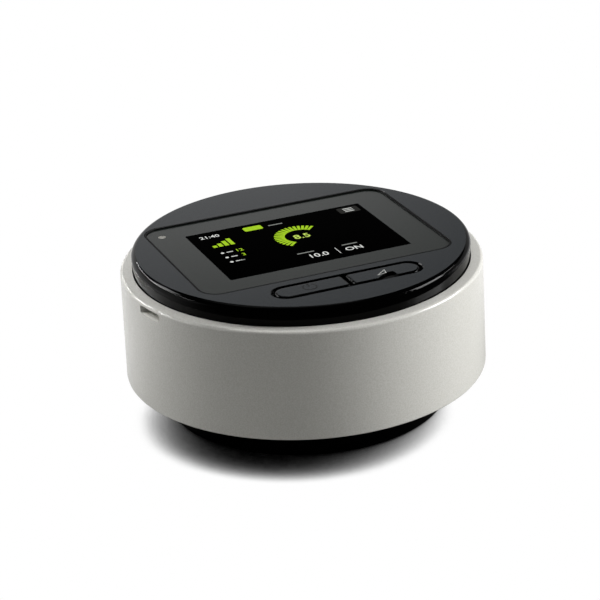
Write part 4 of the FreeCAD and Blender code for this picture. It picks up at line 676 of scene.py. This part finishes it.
brass, tree, surface, place = start_finish("brass pin, nickel flash")
wear = add(tree, "ShaderNodeTexNoise", {"Vector": place, "Scale": 1200.0, "Detail": 3.0})
shade = add(tree, "ShaderNodeMix", {0: wear.outputs["Fac"], 6: tint("C9B27C"), 7: tint("D9CDAA")},
            data_type="RGBA")
tree.links.new(shade.outputs[2], surface.inputs["Base Color"])
surface.inputs["Metallic"].default_value = 1.0
surface.inputs["Roughness"].default_value = 0.25
finish_node("dc_pin", brass)


# ---- Boards, display cell and ribbon ----------------------------------------------
# Glass-epoxy boards, where the solder mask stands up over the copper tracks, charcoal
# packages, pressed steel frames and a clear amber ribbon with its conductors showing.

board_mask, tree, surface, place = start_finish("glass-epoxy board, green solder mask")
track = add(tree, "ShaderNodeTexVoronoi", {"Vector": place, "Scale": 420.0}, distance="MANHATTAN")
copper = add(tree, "ShaderNodeMapRange", {"Value": track.outputs["Distance"], "From Min": 0.30,
             "From Max": 0.36})
shade = add(tree, "ShaderNodeMix", {0: copper.outputs[0], 6: tint("1C5A35"), 7: tint("11402A")},
            data_type="RGBA")
tree.links.new(shade.outputs[2], surface.inputs["Base Color"])
skin = add(tree, "ShaderNodeBump", {"Height": copper.outputs[0], "Distance": 0.00003, "Strength": 0.5},
           invert=True)
tree.links.new(skin.outputs[0], surface.inputs["Normal"])
surface.inputs["Roughness"].default_value = 0.3
for node in ("main_board", "button_board", "power_board"):
    finish_node(node, board_mask)

epoxy, tree, surface, place = start_finish("moulded epoxy package, charcoal")
grain = add(tree, "ShaderNodeTexNoise", {"Vector": place, "Scale": 3000.0, "Detail": 2.0})
shade = add(tree, "ShaderNodeMix", {0: grain.outputs["Fac"], 6: tint("161617"), 7: tint("242425")},
            data_type="RGBA")
tree.links.new(shade.outputs[2], surface.inputs["Base Color"])
surface.inputs["Roughness"].default_value = 0.55
for node in ("board_components", "power_components", "flow_sensor"):
    finish_node(node, epoxy)

cell_steel, tree, surface, place = start_finish("pressed steel frame, dull tin plate")
rolled = add(tree, "ShaderNodeMapping", {"Vector": place, "Scale": (60.0, 4000.0, 4000.0)})
lines = add(tree, "ShaderNodeTexNoise", {"Vector": rolled.outputs[0], "Scale": 1.0, "Detail": 3.0})
shade = add(tree, "ShaderNodeMix", {0: lines.outputs["Fac"], 6: tint("8F9294"), 7: tint("AFB2B4")},
            data_type="RGBA")
tree.links.new(shade.outputs[2], surface.inputs["Base Color"])
surface.inputs["Metallic"].default_value = 1.0
surface.inputs["Roughness"].default_value = 0.38
for node in ("lcd_module", "card_socket", "motor_shaft", "bearing_lower", "bearing_upper",
             "motor_stator", "rotor_magnet"):
    finish_node(node, cell_steel)

polyimide, tree, surface, place = start_finish("polyimide ribbon, amber")
conductor_mm, wave_units = 0.8, 20
stripe = add(tree, "ShaderNodeTexWave", {"Vector": place, "Scale": 1000 / (conductor_mm * wave_units)},
             bands_direction="Y")
shade = add(tree, "ShaderNodeMix", {0: stripe.outputs["Fac"], 6: tint("8A4F14"), 7: tint("B87425")},
            data_type="RGBA")
tree.links.new(shade.outputs[2], surface.inputs["Base Color"])
surface.inputs["Roughness"].default_value = 0.3
finish_node("display_flex", polyimide)


# ---- Blower, chassis and ducts ----------------------------------------------------
# Inner mouldings in grey plastic, flecked by its glass fibres. The impeller is acetal in
# its natural milky white; the silencer ring is open-cell foam, pitted and matt.

inner_pc, tree, surface, place = start_finish("glass-filled plastic, mid grey")
flecks = add(tree, "ShaderNodeTexNoise", {"Vector": place, "Scale": 1500.0, "Detail": 5.0,
             "Roughness": 0.7})
shade = add(tree, "ShaderNodeMix", {0: flecks.outputs["Fac"], 6: tint("6E7275"), 7: tint("85898B")},
            data_type="RGBA")
tree.links.new(shade.outputs[2], surface.inputs["Base Color"])
surface.inputs["Roughness"].default_value = 0.55
for node in ("display_bracket", "inner_chassis", "blower_lower", "blower_upper", "motor_cap",
             "intake_duct"):
    finish_node(node, inner_pc)

acetal, tree, surface, place = start_finish("acetal, natural white")
cloud = add(tree, "ShaderNodeTexNoise", {"Vector": place, "Scale": 300.0, "Detail": 2.0})
shade = add(tree, "ShaderNodeMix", {0: cloud.outputs["Fac"], 6: tint("E2E1DA"), 7: tint("EFEEE8")},
            data_type="RGBA")
tree.links.new(shade.outputs[2], surface.inputs["Base Color"])
surface.inputs["Roughness"].default_value = 0.35
finish_node("impeller", acetal)

foam, tree, surface, place = start_finish("polyurethane foam, charcoal")
cells = add(tree, "ShaderNodeTexVoronoi", {"Vector": place, "Scale": 1100.0})
shade = add(tree, "ShaderNodeMix", {0: cells.outputs["Distance"], 6: tint("1E1F20"), 7: tint("4A4B4C")},
            data_type="RGBA")
tree.links.new(shade.outputs[2], surface.inputs["Base Color"])
skin = add(tree, "ShaderNodeBump", {"Height": cells.outputs["Distance"], "Distance": 0.0003,
           "Strength": 0.8})
tree.links.new(skin.outputs[0], surface.inputs["Normal"])
surface.inputs["Roughness"].default_value = 0.95
finish_node("intake_foam", foam)


# ---- Table, light and camera ------------------------------------------------------
# A pale table before a white sweep. A broad lamp and a thin bright strip stand on each
# side and one lamp hangs overhead. The camera sees table and room white; reflections see them
# dim on the user's side, so gloss stays black.

table = bpy.data.objects.new("table", bpy.data.meshes.new("table"))
half = 3.0
table.data.from_pydata([(-half, -half, 0), (half, -half, 0), (half, half, 0), (-half, half, 0)], [],
                       [(0, 1, 2, 3)])
bpy.context.scene.collection.objects.link(table)
table_top = bpy.data.materials.new("pale table")
table_top.use_nodes = True
tree = table_top.node_tree
tree.nodes.clear()


def seen_or_mirrored(tree):
    """One for rays of the camera, of a mirror or through glass, otherwise zero."""
    path = add(tree, "ShaderNodeLightPath")
    seen = add(tree, "ShaderNodeMath", {0: path.outputs["Is Camera Ray"],
               1: path.outputs["Is Glossy Ray"]}, operation="MAXIMUM")
    return add(tree, "ShaderNodeMath", {0: seen.outputs[0], 1: path.outputs["Is Transmission Ray"]},
               operation="MAXIMUM").outputs[0]


def whole_for_camera(tree, place, fades):
    """One for the camera; in a mirror the product of smooth fades, each along an axis of the
    place: (axis, start, end, first level, last level)."""
    value = None
    for axis, start, end, first, last in fades:
        level = add(tree, "ShaderNodeMapRange", {"Value": place.outputs[axis], "From Min": start,
                    "From Max": end, "To Min": first, "To Max": last}, interpolation_type="SMOOTHSTEP")
        value = level.outputs[0] if value is None else add(
            tree, "ShaderNodeMath", {0: value, 1: level.outputs[0]}, operation="MULTIPLY").outputs[0]
    path = add(tree, "ShaderNodeLightPath")
    return add(tree, "ShaderNodeMath", {0: value, 1: path.outputs["Is Camera Ray"]},
               operation="MAXIMUM").outputs[0]


spot = add(tree, "ShaderNodeSeparateXYZ", {"Vector": add(tree, "ShaderNodeTexCoord").outputs["Object"]})
plain = add(tree, "ShaderNodeBsdfDiffuse", {"Color": tint("9C9C9A")})
# The camera sees none of the lamps' light on the table. It sees a white glow, darkened close to
# the machine by ambient occlusion: a stand-in for the lamps' own shadow, with its levels given here,
# that leans away from the stronger lamp at the right and rear.
towards_lamp = add(tree, "ShaderNodeCombineXYZ", {"X": 0.63, "Y": 0.72, "Z": 0.30})
nearness = add(tree, "ShaderNodeAmbientOcclusion", {"Distance": 0.024, "Normal": towards_lamp.outputs[0]},
               samples=48)
nearness = add(tree, "ShaderNodeMapRange", {"Value": nearness.outputs["AO"], "From Min": 0.379,
               "From Max": 0.612})
glow = add(tree, "ShaderNodeMath", {0: nearness.outputs[0], 1: 2.0}, operation="POWER").outputs[0]
in_mirror = whole_for_camera(tree, spot, [("Y", -0.06, 0.10, 0.02, 0.85)])
share = add(tree, "ShaderNodeMath", {0: glow, 1: in_mirror}, operation="MULTIPLY")
lift = add(tree, "ShaderNodeEmission", {"Color": (1, 1, 1, 1), "Strength": share.outputs[0]})
choice = add(tree, "ShaderNodeMixShader", {0: seen_or_mirrored(tree), 1: plain.outputs[0],
             2: lift.outputs[0]})
add(tree, "ShaderNodeOutputMaterial", {"Surface": choice.outputs[0]})
table.data.materials.append(table_top)

world = bpy.data.worlds.new("room")
bpy.context.scene.world = world
world.use_nodes = True
tree = world.node_tree
tree.nodes.clear()
way = add(tree, "ShaderNodeSeparateXYZ", {"Vector": add(tree, "ShaderNodeTexCoord").outputs["Generated"]})
shown = whole_for_camera(tree, way, [("X", 0.34, 0.46, 1.0, 0.4), ("Y", -0.25, 0.35, 0.02, 1.0),
                                     ("Z", 0.335, 0.415, 1.0, 0.0)])
fill_light = 0.168
level = add(tree, "ShaderNodeMix", {0: seen_or_mirrored(tree), 2: fill_light, 3: shown})
sky = add(tree, "ShaderNodeBackground", {"Color": (1, 1, 1, 1), "Strength": level.outputs[0]})
add(tree, "ShaderNodeOutputWorld", {"Surface": sky.outputs[0]})


lamp_reach = 0.82
lamp_aim = Vector((0, 0, 0.04))


def softbox(name, bearing, height, width, depth, power):
    """An area lamp lamp_reach from the machine's axis, at a bearing from +X, aimed at the machine."""
    lamp = bpy.data.lights.new(name, "AREA")
    lamp.shape = "RECTANGLE"
    lamp.size, lamp.size_y = width, depth
    lamp.energy = power
    turn = math.radians(bearing)
    spot = Vector((lamp_reach * math.cos(turn), lamp_reach * math.sin(turn), height))
    holder = bpy.data.objects.new(name, lamp)
    holder.location = spot
    holder.rotation_euler = (lamp_aim - spot).to_track_quat("-Z", "Y").to_euler()
    bpy.context.scene.collection.objects.link(holder)
    return holder


softbox("softbox_left", 130, 0.60, 0.40, 0.30, 5.0)
softbox("softbox_right", -20, 0.40, 0.40, 0.30, 8.0)
softbox("strip_left", 132, 0.50, 1.38, 0.010, 3.6)
softbox("strip_right", -14, 0.50, 0.87, 0.010, 1.7)
over = softbox("softbox_over", 90, 0.85, 0.60, 0.40, 0.6)
over.location.y = 0.25
over.rotation_euler = (0, 0, 0)

camera = bpy.data.objects.new("camera", bpy.data.cameras.new("camera"))
camera.data.sensor_width = 36.0
camera.data.lens = 126.0686
camera.location = (-0.284085, -0.7076, 0.370252)
camera.rotation_euler = [math.radians(turn) for turn in (66.60368, 2.58238, -22.89238)]
camera.data.clip_start = 0.05
camera.data.clip_end = 20.0
bpy.context.scene.collection.objects.link(camera)
bpy.context.scene.camera = camera
bpy.context.scene.view_settings.view_transform = "Standard"
